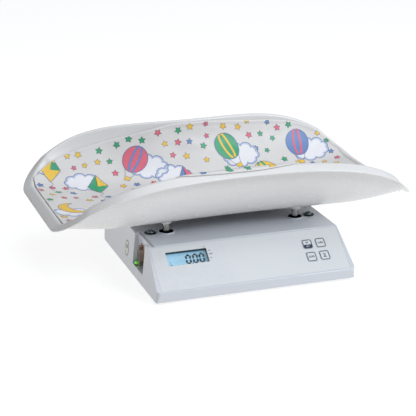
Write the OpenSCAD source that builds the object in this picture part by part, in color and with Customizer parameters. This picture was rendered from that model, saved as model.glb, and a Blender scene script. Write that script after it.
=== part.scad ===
// Digital baby weighing scale: a wedge-fronted base with a load cell inside,
// four posts that come up through its top, and a trough tray on the posts.
// +Z up, +X to the right seen from the front, the front faces -Y.
// The origin is the bottom centre of the whole object.

/* [Base housing] */
// Width of the base housing at its foot
base_w = 290; // [288:1:294]
// Depth of the base housing at its foot
base_d = 270; // [268:1:272]
// Height of the flat top plate above the housing's lower edge
plateau_h = 60; // [59:0.5:61]
// Height of the small front lip above the housing's lower edge
lip_h = 14; // [13:0.5:15]
// How far the lip's top edge stands out in front of its foot
lip_lean = 3.5; // [2:0.5:4]
// Horizontal run of the sloped panel, from the foot of the front
slope_run = 55; // [54:0.5:56]
// How far each side wall leans in over its height
side_lean = 6.2; // [5.5:0.1:7]
// Wall thickness of the housing
wall = 3; // [2.5:0.5:3]
// Gap under the housing, which the feet fill
foot_gap = 4; // [3.5:0.5:5]

/* [Posts] */
// Diameter of a tray post
post_d = 10; // [9:0.5:11]
// Diameter of the hole that a post comes through
post_hole_d = 20; // [18:0.5:20]
// Distance between the posts, left to right
post_dx = 193.6; // [192:0.1:195]
// Distance between the posts, front to back
post_dy = 141; // [139:1:142]
// Radial play of a post in its tray socket
post_play = 0.08; // [0.05:0.01:0.1]

/* [Tray] */
// Half length of the tray, from its centre to the top of the end rim
tray_c = 250.5; // [249:0.5:252]
// Half width of the tray at mid length, to the top of the side rim
tray_hw = 134.5; // [133:0.5:136]
// Height of the side rim at mid length, above the ground
crest_h = 165.5; // [164:0.5:167]
// How much lower the side rim is where it reaches the ends
crest_drop = 57; // [55:1:58]
// Height of the end rim above the ground
end_h = 98.5; // [97:0.5:100]
// Width of the rolled flange outside the rim
flange_w = 12.5; // [11:0.5:13]
// Height of the tray's floor above the ground
floor_h = 84; // [83:0.5:86]
// Wall thickness of the tray
tray_t = 3; // [2.5:0.5:3]
// Thickness of the pad
pad_t = 1.6; // [1.4:0.1:2]

/* [Panel] */
// Width of the display window
lcd_w = 58.2; // [56:0.1:59]
// Height of the display window
lcd_h = 21.7; // [20:0.1:22]
// Width of a key
key_w = 14.4; // [14:0.1:15]
// Height of a key
key_h = 15; // [14:0.1:15.5]
// Travel of a key
key_travel = 0.4; // [0.3:0.05:0.4]

/* [Hidden] */

e = 0.02;
base_y = -29.35;                      // centre of the base, front to back
tray_y = base_y + 41;               // centre of the tray and of the four posts
z0 = foot_gap;                      // lower edge of the housing
z1 = z0 + lip_h;                    // top edge of the lip
z2 = z0 + plateau_h;                // top plate
yf = base_y - base_d / 2;           // foot of the front
ys = yf + slope_run;                // top edge of the slope
yl = yf - lip_lean;                 // top edge of the lip, bottom edge of the slope
yr = base_y + base_d / 2;           // foot of the rear
slope_a = atan2(z2 - z1, ys - yl);
slope_len = norm([z2 - z1, ys - yl]);
draft = atan2(side_lean, plateau_h);
post_y = [tray_y - post_dy / 2, tray_y + post_dy / 2];
post_x = post_dx / 2;
screw_x = post_x + 22;
screw_dy = 3;
feet = [["fl", -118, base_y - 112], ["fr", 118, base_y - 112],
        ["rl", -100, base_y + 116], ["rr", 100, base_y + 116]];
// recess in the left wall
rec_x = -134;
rec_y0 = base_y - 68;
rec_y1 = base_y - 19;
rec_z = z0 + 15.5;
port_y = base_y - 39;
port_z = z0 + 33.5;
level_x = -138.8;
level_y = base_y - 27;
// panel positions, in the slope's own plane: x to the right, y up the slope
lcd_c = [-88.4, 51.5];
keys = [["power", 86.2, 48.4], ["tare", 105.8, 48.4], ["zero", 86.2, 27.8], ["hold", 105.8, 27.8]];
lcd_depth = 5.5;

white = "whitesmoke";

// ---------- shape helpers ----------
function unit(v) = v / norm(v);
// arc of n steps that rounds the corner p between the directions of a and b
function corner(p, a, b, r, n) = r <= 0 ? [p] :
  let (u = unit(a - p), v = unit(b - p), g = acos(max(-1, min(1, u * v))),
       t = r / tan(g / 2), c = p + unit(u + v) * (r / sin(g / 2)),
       s = p + u * t, f = p + v * t, a0 = atan2(s[1] - c[1], s[0] - c[0]),
       a1 = atan2(f[1] - c[1], f[0] - c[0]), d = ((a1 - a0 + 540) % 360) - 180)
  [for (i = [0:n]) c + r * [cos(a0 + d * i / n), sin(a0 + d * i / n)]];
// outline with the corners of q = [[x, y, radius], ...] rounded
function rounded(q, n = 4) = [for (i = [0:len(q) - 1])
  let (m = len(q), p = q[i], a = q[(i + m - 1) % m], b = q[(i + 1) % m])
  each corner([p[0], p[1]], [a[0], a[1]], [b[0], b[1]], p[2], n)];
// the same outline (anticlockwise, convex) moved inwards by d
function inset(q, d) = [for (i = [0:len(q) - 1])
  let (m = len(q), p = [q[i][0], q[i][1]], a = [q[(i + m - 1) % m][0], q[(i + m - 1) % m][1]],
       b = [q[(i + 1) % m][0], q[(i + 1) % m][1]], u = unit(p - a), v = unit(b - p),
       n1 = [-u[1], u[0]], n2 = [-v[1], v[0]], w = p + (n1 + n2) * (d / (1 + n1 * n2)))
  [w[0], w[1], max(0.6, q[i][2] - d)]];
function box_pts(w, h, r) = [[-w / 2, -h / 2, r], [w / 2, -h / 2, r], [w / 2, h / 2, r], [-w / 2, h / 2, r]];

module slab(w, d, h, r, n = 4) linear_extrude(h) polygon(rounded(box_pts(w, d, r), n));
module tube(od, id, h) difference() {
  cylinder(d = od, h = h, $fn = 48);
  translate([0, 0, -1]) cylinder(d = id, h = h + 2, $fn = 48);
}
// frame of the sloped panel: x right, y up the slope, z out of it
module on_slope() translate([0, yl, z1]) rotate([slope_a, 0, 0]) children();
// frame of the left wall: y back, z up along the wall, -x out of it
module on_left_wall() translate([-base_w / 2, base_y, z0]) rotate([0, draft, 0]) children();
module at_posts() for (sx = [-1, 1], y = post_y) translate([sx * post_x, y, 0]) children();
module at_cover_screws() for (sx = [-1, 1], y = post_y) translate([sx * screw_x, y + screw_dy, 0]) children();

// ---------- base housing ----------
// outline of the housing seen from the side, as [y, z, radius]; zb is its lower edge
function side_pts(zb) = [
  [yf - lip_lean * (zb - z0) / lip_h, zb, 0.5],
  [yr, zb, 0.5],
  [yr, z2, 3],
  [ys, z2, 2.5],
  [yl, z1, 2.5]];
function front_pts(zb) = let (k = side_lean / plateau_h) [
  [-base_w / 2 + k * (zb - z0), zb, 0.5], [base_w / 2 - k * (zb - z0), zb, 0.5],
  [base_w / 2 - side_lean, z2, 1.6], [-base_w / 2 + side_lean, z2, 1.6]];
function plan_pts() = [[-base_w / 2, yl, 9], [base_w / 2, yl, 9], [base_w / 2, yr, 9], [-base_w / 2, yr, 9]];

module wedge(zb, d) intersection() {
  rotate([90, 0, 90]) translate([0, 0, -base_w]) linear_extrude(2 * base_w)
    polygon(rounded(inset(side_pts(zb), d)));
  rotate([90, 0, 0]) translate([0, 0, -base_d]) linear_extrude(2 * base_d)
    polygon(rounded(inset(front_pts(zb), d)));
  translate([0, 0, zb - 5]) linear_extrude(z2 + 10) polygon(rounded(inset(plan_pts(), d), 6));
}

module post_rim() rotate_extrude($fn = 64) polygon(concat(
  [[post_hole_d / 2, -wall], [post_hole_d / 2, 0.6]],
  [for (a = [180:-30:0]) [post_hole_d / 2 + 1.1 + 1.1 * cos(a), 0.6 + 1.1 * sin(a)]],
  [[post_hole_d / 2 + 2.4, 0], [post_hole_d / 2 + 2.4, -wall]]));

module housing_top() color(white) {
  difference() {
    union() {
      difference() {
        wedge(z0, 0);
        wedge(z0 - 8, wall);
      }
      // pocket that closes the recess off from the inside
      intersection() {
        wedge(z0, 0);
        translate([-base_w / 2, rec_y0 - wall, rec_z - wall])
          cube([base_w / 2 + rec_x + wall, rec_y1 - rec_y0 + 2 * wall, z2]);
      }
      // bosses behind the panel that the display board is screwed to
      on_slope() for (x = [-126, -40, 62, 126], y = [20, 66]) translate([x, y, -9.4])
        cylinder(d = 6, h = 7, $fn = 32);
      // collars of metal thickness round the post holes
      at_posts() translate([0, 0, z2]) post_rim();
    }
    // the recess itself, open to the side and at the top
    translate([-base_w, rec_y0, rec_z]) cube([base_w + rec_x, rec_y1 - rec_y0, z2]);
    // bevel along the top plate beside the recess
    translate([rec_x - 4, ys - 1, z2]) rotate([0, 18, 0]) translate([-10, 0, 0])
      cube([10 + 8.2, rec_y1 - ys + 1, 6]);
    // opening and screw holes of the port
    translate([rec_x - 1, port_y, port_z]) {
      translate([0, -5.5, -10]) cube([wall + 2, 11, 20]);
      for (s = [-12.5, 12.5]) translate([0, 0, s]) rotate([0, 90, 0]) cylinder(d = 3.4, h = wall + 2, $fn = 32);
    }
    at_posts() translate([0, 0, z2 - wall - 1]) cylinder(d = post_hole_d, h = wall + 4, $fn = 64);
    at_cover_screws() {
      translate([0, 0, z2 - 1.4]) cylinder(d = 17.6, h = 5, $fn = 48);
      translate([0, 0, z2 - wall - 1]) cylinder(d = 6.4, h = wall + 4, $fn = 32);
    }
    // two small seal openings near the right edge
    for (x = [126.5, 133.5]) translate([x, base_y + 5.5, z2 - wall - 1]) rotate([0, 0, 25]) {
      translate([-1, -1.2, 0]) cube([2, 2.4, wall + 4]);
      for (y = [-1.2, 1.2]) translate([0, y, 0]) cylinder(d = 2, h = wall + 4, $fn = 24);
    }
    on_slope() {
      // shallow seat of the film
      translate([0, slope_len / 2, -0.4]) slab(274, 69, 2, 3);
      // display window, keys and board screws
      translate([lcd_c[0], lcd_c[1], -wall - 2]) slab(lcd_w + 3.8, lcd_h + 3.8, 10, 1.5);
      for (k = keys) translate([k[1], k[2], -wall - 2]) slab(key_w + 0.6, key_h + 0.6, 10, 1.4);
      for (x = [-126, -40, 62, 126], y = [20, 66]) translate([x, y, -9.5]) cylinder(d = 2.4, h = 6.5, $fn = 24);
    }
    // hole of the power inlet in the rear wall
    translate([80, yr + 5, z0 + 22]) rotate([90, 0, 0]) cylinder(d = 11, h = 20, $fn = 40);
  }
}

// ---------- panel ----------
module front_overlay() color([0.86, 0.88, 0.91]) on_slope() difference() {
  translate([0, slope_len / 2, -0.4]) slab(273.6, 68.6, 0.4, 2.9);
  translate([lcd_c[0], lcd_c[1], -1]) slab(lcd_w, lcd_h, 3, 1);
  for (k = keys) translate([k[1], k[2], -1]) slab(key_w + 0.5, key_h + 0.5, 3, 1.9);
}
module lcd_window() color([0.75, 0.85, 0.9, 0.3]) on_slope()
  translate([lcd_c[0], lcd_c[1], -0.4]) slab(lcd_w - 0.06, lcd_h - 0.06, 0.4, 0.97);
module lcd_bezel() color([0.06, 0.06, 0.07]) on_slope() translate([lcd_c[0], lcd_c[1], 0]) difference() {
  union() {
    translate([0, 0, -lcd_depth]) slab(lcd_w + 3.6, lcd_h + 3.6, lcd_depth - 0.42, 1.4);
    translate([0, 0, -lcd_depth]) slab(lcd_w + 9, lcd_h + 8, lcd_depth - wall - 0.05, 1.4);
  }
  translate([0, 0, -lcd_depth - 1]) slab(lcd_w - 0.2, lcd_h - 0.2, lcd_depth + 2, 0.9);
}
module lcd_module() color([0.61, 0.8, 0.88]) on_slope() translate([lcd_c[0], lcd_c[1], -9.35]) {
  slab(lcd_w + 8, lcd_h + 7, 2.4, 1);
  translate([0, 0, 2.4 - e]) slab(lcd_w + 3, lcd_h + 3, 9.33 - 2.4 - lcd_depth + e, 0.6);
}
module display_board() color([0.1, 0.35, 0.2]) on_slope() difference() {
  translate([0, 43, -11]) slab(258, 52, 1.6, 2);
  for (x = [-126, -40, 62, 126], y = [20, 66]) translate([x, y, -12]) cylinder(d = 2.8, h = 4, $fn = 24);
}
module key_switches() color([0.12, 0.12, 0.13]) on_slope() for (k = keys) translate([k[1], k[2], -9.4]) difference() {
  slab(6, 6, 3.6, 0.5);
  translate([0, 0, 2]) cylinder(d = 3.5, h = 3, $fn = 32);
}
module board_screws() color("silver") on_slope() for (x = [-126, -40, 62, 126], y = [20, 66])
  translate([x, y, 0]) {
    translate([0, 0, -12.6]) cylinder(d = 5, h = 1.6, $fn = 32);
    translate([0, 0, -11 - e]) cylinder(d = 2.3, h = 6.5, $fn = 24);
  }
// a key: a plate with a softly crowned face, and the plunger that reaches into its switch
module key_cap(i) on_slope() translate([keys[i][1], keys[i][2], -wall]) {
  translate([0, 0, wall - 6.8]) cylinder(d = 3.4, h = 6.8 - wall + e, $fn = 32);
  slab(key_w, key_h, wall - 0.1, 1.6);
  translate([0, 0, wall - 0.1 - e]) slab(key_w - 0.5, key_h - 0.5, 0.3 + e, 1.4);
  translate([0, 0, wall + 0.2 - e]) slab(key_w - 1.3, key_h - 1.3, 0.15 + e, 1.1);
}
module key_power() color([0.82, 0.84, 0.88]) key_cap(0);
module key_tare() color([0.88, 0.9, 0.92]) key_cap(1);
module key_zero() color([0.88, 0.9, 0.92]) key_cap(2);
module key_hold() color([0.88, 0.9, 0.92]) key_cap(3);

// ---------- fasteners in the top plate ----------
module screw_cups() color([0.1, 0.12, 0.12]) at_cover_screws() translate([0, 0, z2 - 1.38])
  rotate_extrude($fn = 48) polygon([[3.2, 0], [8.7, 0], [8.7, 1.9], [7.6, 2.3], [6.3, 1.1], [3.2, 0.9]]);
module cover_screws() color([0.16, 0.17, 0.18]) at_cover_screws() {
  translate([0, 0, z2 - 0.32]) rotate_extrude($fn = 48) polygon(concat(
    [[0, 0], [5.2, 0], [5.2, 1.2]],
    [for (a = [15:15:90]) [5.2 * cos(a), 1.2 + 3 * sin(a)]]));
  translate([0, 0, z2 - 15]) cylinder(d = 5, h = 14.7, $fn = 32);
}

// ---------- chassis ----------
plate_z = z0 + 3;
plate_t = 2;
cell_y = tray_y;
cell_z = plate_z + plate_t + 5;
cell_h = 22;
plat_z = cell_z + cell_h + 5;
module at_cell_bolts(s) for (x = [44, 59]) translate([s * x, cell_y, 0]) children();
module at_board() for (x = [-52, 52], y = [base_y - 70, base_y - 20]) translate([x, y, 0]) children();
module chassis() color([0.78, 0.79, 0.8]) difference() {
  union() {
    translate([0, base_y - 0.5, plate_z]) slab(281.4, 262, plate_t, 7, 6);
    // folded edges front and rear
    translate([0, base_y - 130.2, plate_z]) slab(266, 1.6, 8, 0.4);
    translate([0, base_y + 129.2, plate_z]) slab(266, 1.6, 8, 0.4);
  }
  for (f = feet) translate([f[1], f[2], plate_z - 1]) cylinder(d = 12.1, h = plate_t + 2, $fn = 40);
  at_cover_screws() translate([0, 0, plate_z - 1]) cylinder(d = 5.4, h = plate_t + 2, $fn = 32);
  at_cell_bolts(-1) translate([0, 0, plate_z - 1]) cylinder(d = 6.6, h = plate_t + 2, $fn = 32);
  at_board() translate([0, 0, plate_z - 1]) cylinder(d = 3.4, h = plate_t + 2, $fn = 24);
}
module chassis_pillars() color("silver") at_cover_screws() translate([0, 0, plate_z + plate_t]) difference() {
  cylinder(d = 12, h = z2 - wall - plate_z - plate_t, $fn = 48);
  translate([0, 0, -1]) cylinder(d = 5.04, h = z2, $fn = 32);
}
module chassis_screws() color("silver") at_cover_screws() {
  translate([0, 0, plate_z - 2.2]) cylinder(d = 9.4, h = 2.2, $fn = 32);
  translate([0, 0, plate_z - e]) cylinder(d = 5, h = 12, $fn = 32);
}
module foot_nuts() color("silver") for (f = feet) translate([f[1], f[2], plate_z]) difference() {
  union() {
    cylinder(d = 12, h = plate_t, $fn = 40);
    translate([0, 0, plate_t]) cylinder(d = 17, h = 10, $fn = 6);
  }
  translate([0, 0, -1]) cylinder(d = 8.1, h = 20, $fn = 48);
}

// ---------- levelling feet ----------
module foot_pad(i) color([0.1, 0.1, 0.1]) translate([feet[i][1], feet[i][2], 0])
  rotate_extrude($fn = 64) polygon([[0, 0], [11.4, 0], [12.4, 0.8], [12.4, 2], [11.6, 2.6], [4.1, 2.6], [4.1, 1], [0, 1]]);
module foot_screw(i) color([0.75, 0.76, 0.78]) translate([feet[i][1], feet[i][2], 0]) {
  translate([0, 0, 1.05]) cylinder(d = 8, h = 19, $fn = 48);
  difference() {
    translate([0, 0, 2.7]) cylinder(d = 24, h = 3, $fn = 64);
    for (a = [0:30:359]) rotate([0, 0, a]) translate([12.6, 0, 1]) cylinder(d = 2.4, h = 6, $fn = 16);
  }
}
module foot_pad_fl() foot_pad(0);
module foot_pad_fr() foot_pad(1);
module foot_pad_rl() foot_pad(2);
module foot_pad_rr() foot_pad(3);
module foot_screw_fl() foot_screw(0);
module foot_screw_fr() foot_screw(1);
module foot_screw_rl() foot_screw(2);
module foot_screw_rr() foot_screw(3);

// ---------- electronics ----------
board_z = plate_z + plate_t + 6;
module board_spacers() color("silver") at_board() difference() {
  translate([0, 0, plate_z + plate_t]) cylinder(d = 6, h = 6, $fn = 6);
  translate([0, 0, plate_z]) cylinder(d = 3, h = 20, $fn = 24);
}
module main_board() color([0.1, 0.35, 0.2]) {
  difference() {
    translate([0, base_y - 45, board_z]) slab(114, 60, 1.6, 2);
    at_board() translate([0, 0, board_z - 1]) cylinder(d = 3.2, h = 4, $fn = 24);
  }
  translate([-20, base_y - 50, board_z + 1.6 - e]) slab(20, 20, 2 + e, 0.5);
  translate([18, base_y - 58, board_z + 1.6 - e]) slab(16, 10, 8 + e, 0.5);
  translate([34, base_y - 34, board_z + 1.6 - e]) cylinder(d = 10, h = 12 + e, $fn = 40);
  translate([14, base_y - 34, board_z + 1.6 - e]) cylinder(d = 8, h = 9 + e, $fn = 40);
}
batt = [97, 52, 24];
batt_y = base_y + 90;
module battery() color([0.2, 0.21, 0.23]) translate([0, batt_y, plate_z + plate_t]) {
  slab(batt[0], batt[1], batt[2], 1.5);
  for (x = [-38, -26]) translate([x, -batt[1] / 2 + 6, batt[2] - e]) cube([4.8, 0.8, 6]);
}
module battery_clamp() color([0.78, 0.79, 0.8]) translate([14, batt_y, plate_z + plate_t]) {
  translate([-8, -batt[1] / 2 - 1.5, batt[2] + 0.1]) cube([16, batt[1] + 3, 1.4]);
  for (s = [-1, 1]) {
    translate([-8, s * (batt[1] / 2 + 0.8) - 0.7, 0]) cube([16, 1.4, batt[2] + 0.2]);
    translate([-8, s > 0 ? batt[1] / 2 + 0.1 : -batt[1] / 2 - 9.1, 0]) cube([16, 9, 1.4]);
  }
}
module dc_jack() color([0.08, 0.08, 0.09]) translate([80, yr, z0 + 22]) rotate([90, 0, 0]) difference() {
  union() {
    translate([0, 0, -0.8]) cylinder(d = 14, h = 0.8, $fn = 48);
    translate([0, 0, -e]) cylinder(d = 10.9, h = 15, $fn = 48);
    translate([-6, -6, 4]) cube([12, 12, 11]);
  }
  translate([0, 0, -2]) cylinder(d = 6.4, h = 11, $fn = 40);
}

// port: the upright metal shell, its black insert and the two hex standoffs
module d_outline(w, h, r) {
  polygon(rounded([[-h / 2, -w / 2 + 1.1, r], [h / 2, -w / 2, r], [h / 2, w / 2, r], [-h / 2, w / 2 - 1.1, r]], 4));
}
// frame of the port: z out of the wall, y up
module port_frame() translate([rec_x, port_y, port_z]) rotate([90, 0, -90]) children();
module serial_shell() color([0.42, 0.34, 0.28]) port_frame() difference() {
  union() {
    slab(12.5, 30.8, 0.9, 1.6);
    linear_extrude(6.4) d_outline(18.9, 10.6, 2.4);
  }
  translate([0, 0, -1]) linear_extrude(9) d_outline(17.9, 9.6, 2);
  for (s = [-12.5, 12.5]) translate([0, s, -1]) cylinder(d = 3.6, h = 3, $fn = 32);
}
module serial_insert() color([0.05, 0.05, 0.05]) port_frame() difference() {
  union() {
    translate([0, 0, -wall]) linear_extrude(wall + 6) d_outline(17.8, 9.5, 1.9);
    translate([0, 0, -wall - 8]) slab(12, 30.8, 8, 1);
  }
  for (i = [-2:2]) translate([1.42, i * 2.77, 2]) cylinder(d = 1.1, h = 6, $fn = 16);
  for (i = [-1.5:1:1.5]) translate([-1.42, i * 2.77, 2]) cylinder(d = 1.1, h = 6, $fn = 16);
  for (s = [-12.5, 12.5]) translate([0, s, -wall - 9]) cylinder(d = 3.6, h = 12, $fn = 32);
}
module serial_jackscrews() color([0.5, 0.42, 0.36]) port_frame() for (s = [-12.5, 12.5]) translate([0, s, 0])
  difference() {
    union() {
      translate([0, 0, 0.9]) cylinder(d = 5.4, h = 4.9, $fn = 6);
      translate([0, 0, -wall - 6]) cylinder(d = 3, h = wall + 7, $fn = 32);
    }
    translate([0, 0, 0.9]) cylinder(r = 1.42, h = 10, $fn = 40);
  }
module level_cup() color([0.85, 0.88, 0.86]) translate([level_x, level_y, rec_z]) difference() {
  cylinder(d = 8.8, h = 6.4, $fn = 48);
  translate([0, 0, 1.6]) cylinder(d = 7.4, h = 3.9, $fn = 48);
}
module level_liquid() color([0.3, 0.75, 0.15]) translate([level_x, level_y, rec_z + 1.62])
  cylinder(d = 7.36, h = 3.84, $fn = 48);
module side_decal() color([0.85, 0.85, 0.8]) on_left_wall() translate([0, 12, 27.2]) rotate([0, -90, 0])
  scale([1.3, 1, 1]) cylinder(d = 18, h = 0.3, $fn = 128);

// ---------- load cell and weigh platform ----------
module load_cell() color([0.72, 0.73, 0.75]) translate([0, cell_y, cell_z]) difference() {
  translate([-65, -15, 0]) cube([130, 30, cell_h]);
  for (x = [-14, 14]) translate([x, 16, cell_h / 2]) rotate([90, 0, 0]) cylinder(d = 17, h = 32, $fn = 64);
  translate([-14, -16, cell_h / 2 - 3]) cube([28, 32, 6]);
  for (x = [-59, -44, 44, 59]) translate([x, 0, -1]) cylinder(d = 6.1, h = cell_h + 2, $fn = 40);
}
module cell_spacer_lower() color("silver") difference() {
  translate([-51.5, cell_y, plate_z + plate_t]) slab(27, 30, 5, 1);
  at_cell_bolts(-1) translate([0, 0, plate_z]) cylinder(d = 6.6, h = 20, $fn = 32);
}
module cell_bolts_lower() color([0.3, 0.3, 0.32]) at_cell_bolts(-1) {
  translate([0, 0, plate_z - 2.6]) cylinder(d = 10, h = 2.6, $fn = 40);
  translate([0, 0, plate_z - e]) cylinder(d = 6, h = 22, $fn = 40);
}
module cell_spacer_upper() color("silver") difference() {
  translate([51.5, cell_y, cell_z + cell_h]) slab(27, 30, 5, 1);
  at_cell_bolts(1) translate([0, 0, cell_z]) cylinder(d = 6.6, h = 40, $fn = 32);
}
module cell_bolts_upper() color([0.3, 0.3, 0.32]) at_cell_bolts(1) {
  translate([0, 0, plat_z + 3]) cylinder(d = 10, h = 4, $fn = 40);
  translate([0, 0, cell_z + 6]) cylinder(d = 6, h = plat_z + 3 - cell_z - 6 + e, $fn = 40);
}
module weigh_platform() color([0.6, 0.62, 0.64]) difference() {
  union() {
    translate([0, tray_y, plat_z]) slab(2 * post_x + 24, 40, 3, 4);
    for (s = [-1, 1]) translate([s * post_x, tray_y, plat_z]) slab(24, post_dy + 25, 3, 6);
    for (s = [-1, 1]) translate([s * post_x, tray_y, plat_z + 3 - e]) difference() {
      slab(24, post_dy - 30, 5, 2);
      translate([0, 0, -1]) slab(21, post_dy, 10, 0.5);
    }
  }
  at_posts() translate([0, 0, plat_z - 1]) cylinder(d = 8.2, h = 5, $fn = 40);
  at_cell_bolts(1) translate([0, 0, plat_z - 1]) cylinder(d = 6.6, h = 5, $fn = 32);
}
module posts() color([0.8, 0.81, 0.82]) at_posts() {
  translate([0, 0, plat_z + 3]) cylinder(d = 16, h = 3, $fn = 6);
  translate([0, 0, plat_z + 3]) cylinder(d = post_d, h = floor_h - tray_t - plat_z - 3, $fn = 64);
  translate([0, 0, plat_z - 7]) cylinder(d = 8, h = 11, $fn = 48);
}
module post_nuts() color("silver") at_posts() translate([0, 0, plat_z - 6]) difference() {
  cylinder(d = 15, h = 6, $fn = 6);
  translate([0, 0, -1]) cylinder(d = 8.05, h = 8, $fn = 48);
}

// ---------- leads inside the base ----------
// round tube of eight sides along the points p, with d its diameter
function tube_pts(p, d) = [for (i = [0:len(p) - 1])
  let (t = unit(p[min(i + 1, len(p) - 1)] - p[max(i - 1, 0)]),
       s = unit(cross(t, [0.1, 0.05, 1])), w = cross(s, t))
  each [for (a = [22.5:45:359]) p[i] + d / 2 * (s * cos(a) + w * sin(a))]];
module lead(p, d) let (n = len(p)) polyhedron(tube_pts(p, d), concat(
  [[for (j = [0:7]) 7 - j]], [[for (j = [0:7]) (n - 1) * 8 + j]],
  [for (i = [0:n - 2], j = [0:7]) each let (k = (j + 1) % 8)
    [[i * 8 + j, i * 8 + k, (i + 1) * 8 + k], [i * 8 + j, (i + 1) * 8 + k, (i + 1) * 8 + j]]]), convexity = 8);
// smooth points between two knots a and b that leave along u and arrive along v
function bend(a, u, b, v, n) = [for (i = [0:n]) let (t = i / n)
  a * pow(1 - t, 3) + (a + u) * 3 * t * pow(1 - t, 2) + (b - v) * 3 * t * t * (1 - t) + b * pow(t, 3)];
module cell_lead() color([0.25, 0.25, 0.27]) lead(bend([-67.2, tray_y - 6, cell_z + 11], [-14, 0, 0],
  [-54, base_y - 36, board_z + 4.2], [16, -8, 0], 20), 4);
module battery_lead() color([0.7, 0.1, 0.1]) lead(concat(
  bend([-37, batt_y - 22, plate_z + plate_t + batt[2] + 3], [-26, -2, 0], [-92, tray_y - 10, 20], [0, -30, -4], 16),
  [for (i = [1:12]) bend([-92, tray_y - 10, 20], [0, -40, 0], [-46, base_y - 62, board_z + 5], [26, -2, 0], 12)[i]]), 2.6);

// ---------- tray ----------
function clamp01(s) = max(0, min(1, s));
function smooth(s) = let (c = clamp01(s)) c * c * (3 - 2 * c);
// top of the side rim at x: half width and height
function rim_hw(x) = let (u = abs(x) / tray_c) tray_hw + 49 * pow(u, 2) - 70.5 * pow(u, 4);
function rim_z(x) = crest_h - crest_drop * pow(abs(x) / tray_c, 4.1);
// floor: flat in the middle and rising towards the ends
function floor_z(x) = floor_h + 11 * pow(max(0, abs(x) - 160) / 90, 1.5);
cr = 50;                            // plan radius of the rim's corners
ca = 67;                           // direction of the rim where the corner starts
cx = tray_c - cr * (1 - cos(ca));   // where the corner starts
cc = [cx - cr * cos(ca), rim_hw(cx) - cr * sin(ca)];
// one quarter of the rim, as [x, y, z, nx, ny]
n_side = 10;
n_corner = 4;
n_end = 3;
function rim_side(i) = let (x = cx * sin(90 * i / n_side) * (0.35 + 0.65 * i / n_side),
    g = (rim_hw(x + 0.5) - rim_hw(x - 0.5)), n = unit([-g, 1])) [x, rim_hw(x), rim_z(x), n[0], n[1]];
z_cs = rim_z(cx);
z_ce = end_h + 0.4;
corner_fall = 1.6;
function rim_corner(i) = let (s = i / n_corner, a = ca * (1 - s))
  [cc[0] + cr * cos(a), cc[1] + cr * sin(a), z_ce + (z_cs - z_ce) * pow(1 - s, corner_fall), cos(a), sin(a)];
function rim_end(i) = let (s = 1 - i / n_end) [tray_c, cc[1] * s, end_h + (z_ce - end_h) * pow(s, 4), 1, 0];
quarter = concat([for (i = [0:n_side]) rim_side(i)], [for (i = [1:n_corner]) rim_corner(i)],
                 [for (i = [1:n_end]) rim_end(i)]);
nq = len(quarter) - 1;
function flip(q, sx, sy) = [q[0] * sx, q[1] * sy, q[2], q[3] * sx, q[4] * sy];
// the whole rim, anticlockwise, starting at mid length on the rear side
rim = concat([for (i = [0:nq]) flip(quarter[i], -1, 1)], [for (i = [nq - 1:-1:0]) flip(quarter[i], -1, -1)],
             [for (i = [1:nq]) flip(quarter[i], 1, -1)], [for (i = [nq - 1:-1:1]) flip(quarter[i], 1, 1)]);
nr = len(rim);
// share of the way from the centre to the rim that is flat floor
flat_hw = 72;                       // half width of the flat floor
function flat_share(q) = pow(pow(abs(q[1]) / flat_hw, 6) + pow(1 / 0.94, 6), -1 / 6);
tm = 78;
pw = 2 / 1.75;
// point on the wall; s runs from 0 at the floor to 1 at the top; o moves it outwards
function wall_pt(q, s, o) = let (h = -3.5 + o, ex = q[0] + q[3] * h, ey = q[1] + q[4] * h, ez = q[2] - 3.5 - o,
    f = flat_share(q), th = tm * s, v = pow(sin(th) / sin(tm), pw), g = (1 - pow(cos(th), pw)) / (1 - pow(cos(tm), pw)),
    r = f + (1 - f) * v, x = ex * r)
  [x, tray_y + ey * r, floor_z(x) - o + (ez - floor_z(ex) + o) * g];
// point on the floor; s runs from 0 at the centre to 1 at the foot of the wall
function floor_pt(q, s, o) = let (h = -3.5 + o, r = flat_share(q) * s, x = (q[0] + q[3] * h) * r)
  [x, tray_y + (q[1] + q[4] * h) * r, floor_z(x) - o];
function rim_pt(q, d, h) = [q[0] + q[3] * d, tray_y + q[1] + q[4] * d, q[2] + h];
flange_top = [[flange_w + 0.4, -8.6], [flange_w, -6.8], [flange_w * 0.72, -4.5], [flange_w * 0.4, -2.1],
  [flange_w * 0.2, -0.7], [0, 0], [-1.8, -0.5], [-3, -1.8]];
flange_under = [[-0.2, -8], [1.4, -5.6], [flange_w * 0.5, -6.2], [flange_w - 2.2, -9.2]];
function ring(f) = [for (q = rim) f(q)];
wall_steps = [1, 0.9, 0.78, 0.64, 0.5, 0.36, 0.2];
floor_steps = [1, 0.75, 0.45];
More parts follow.
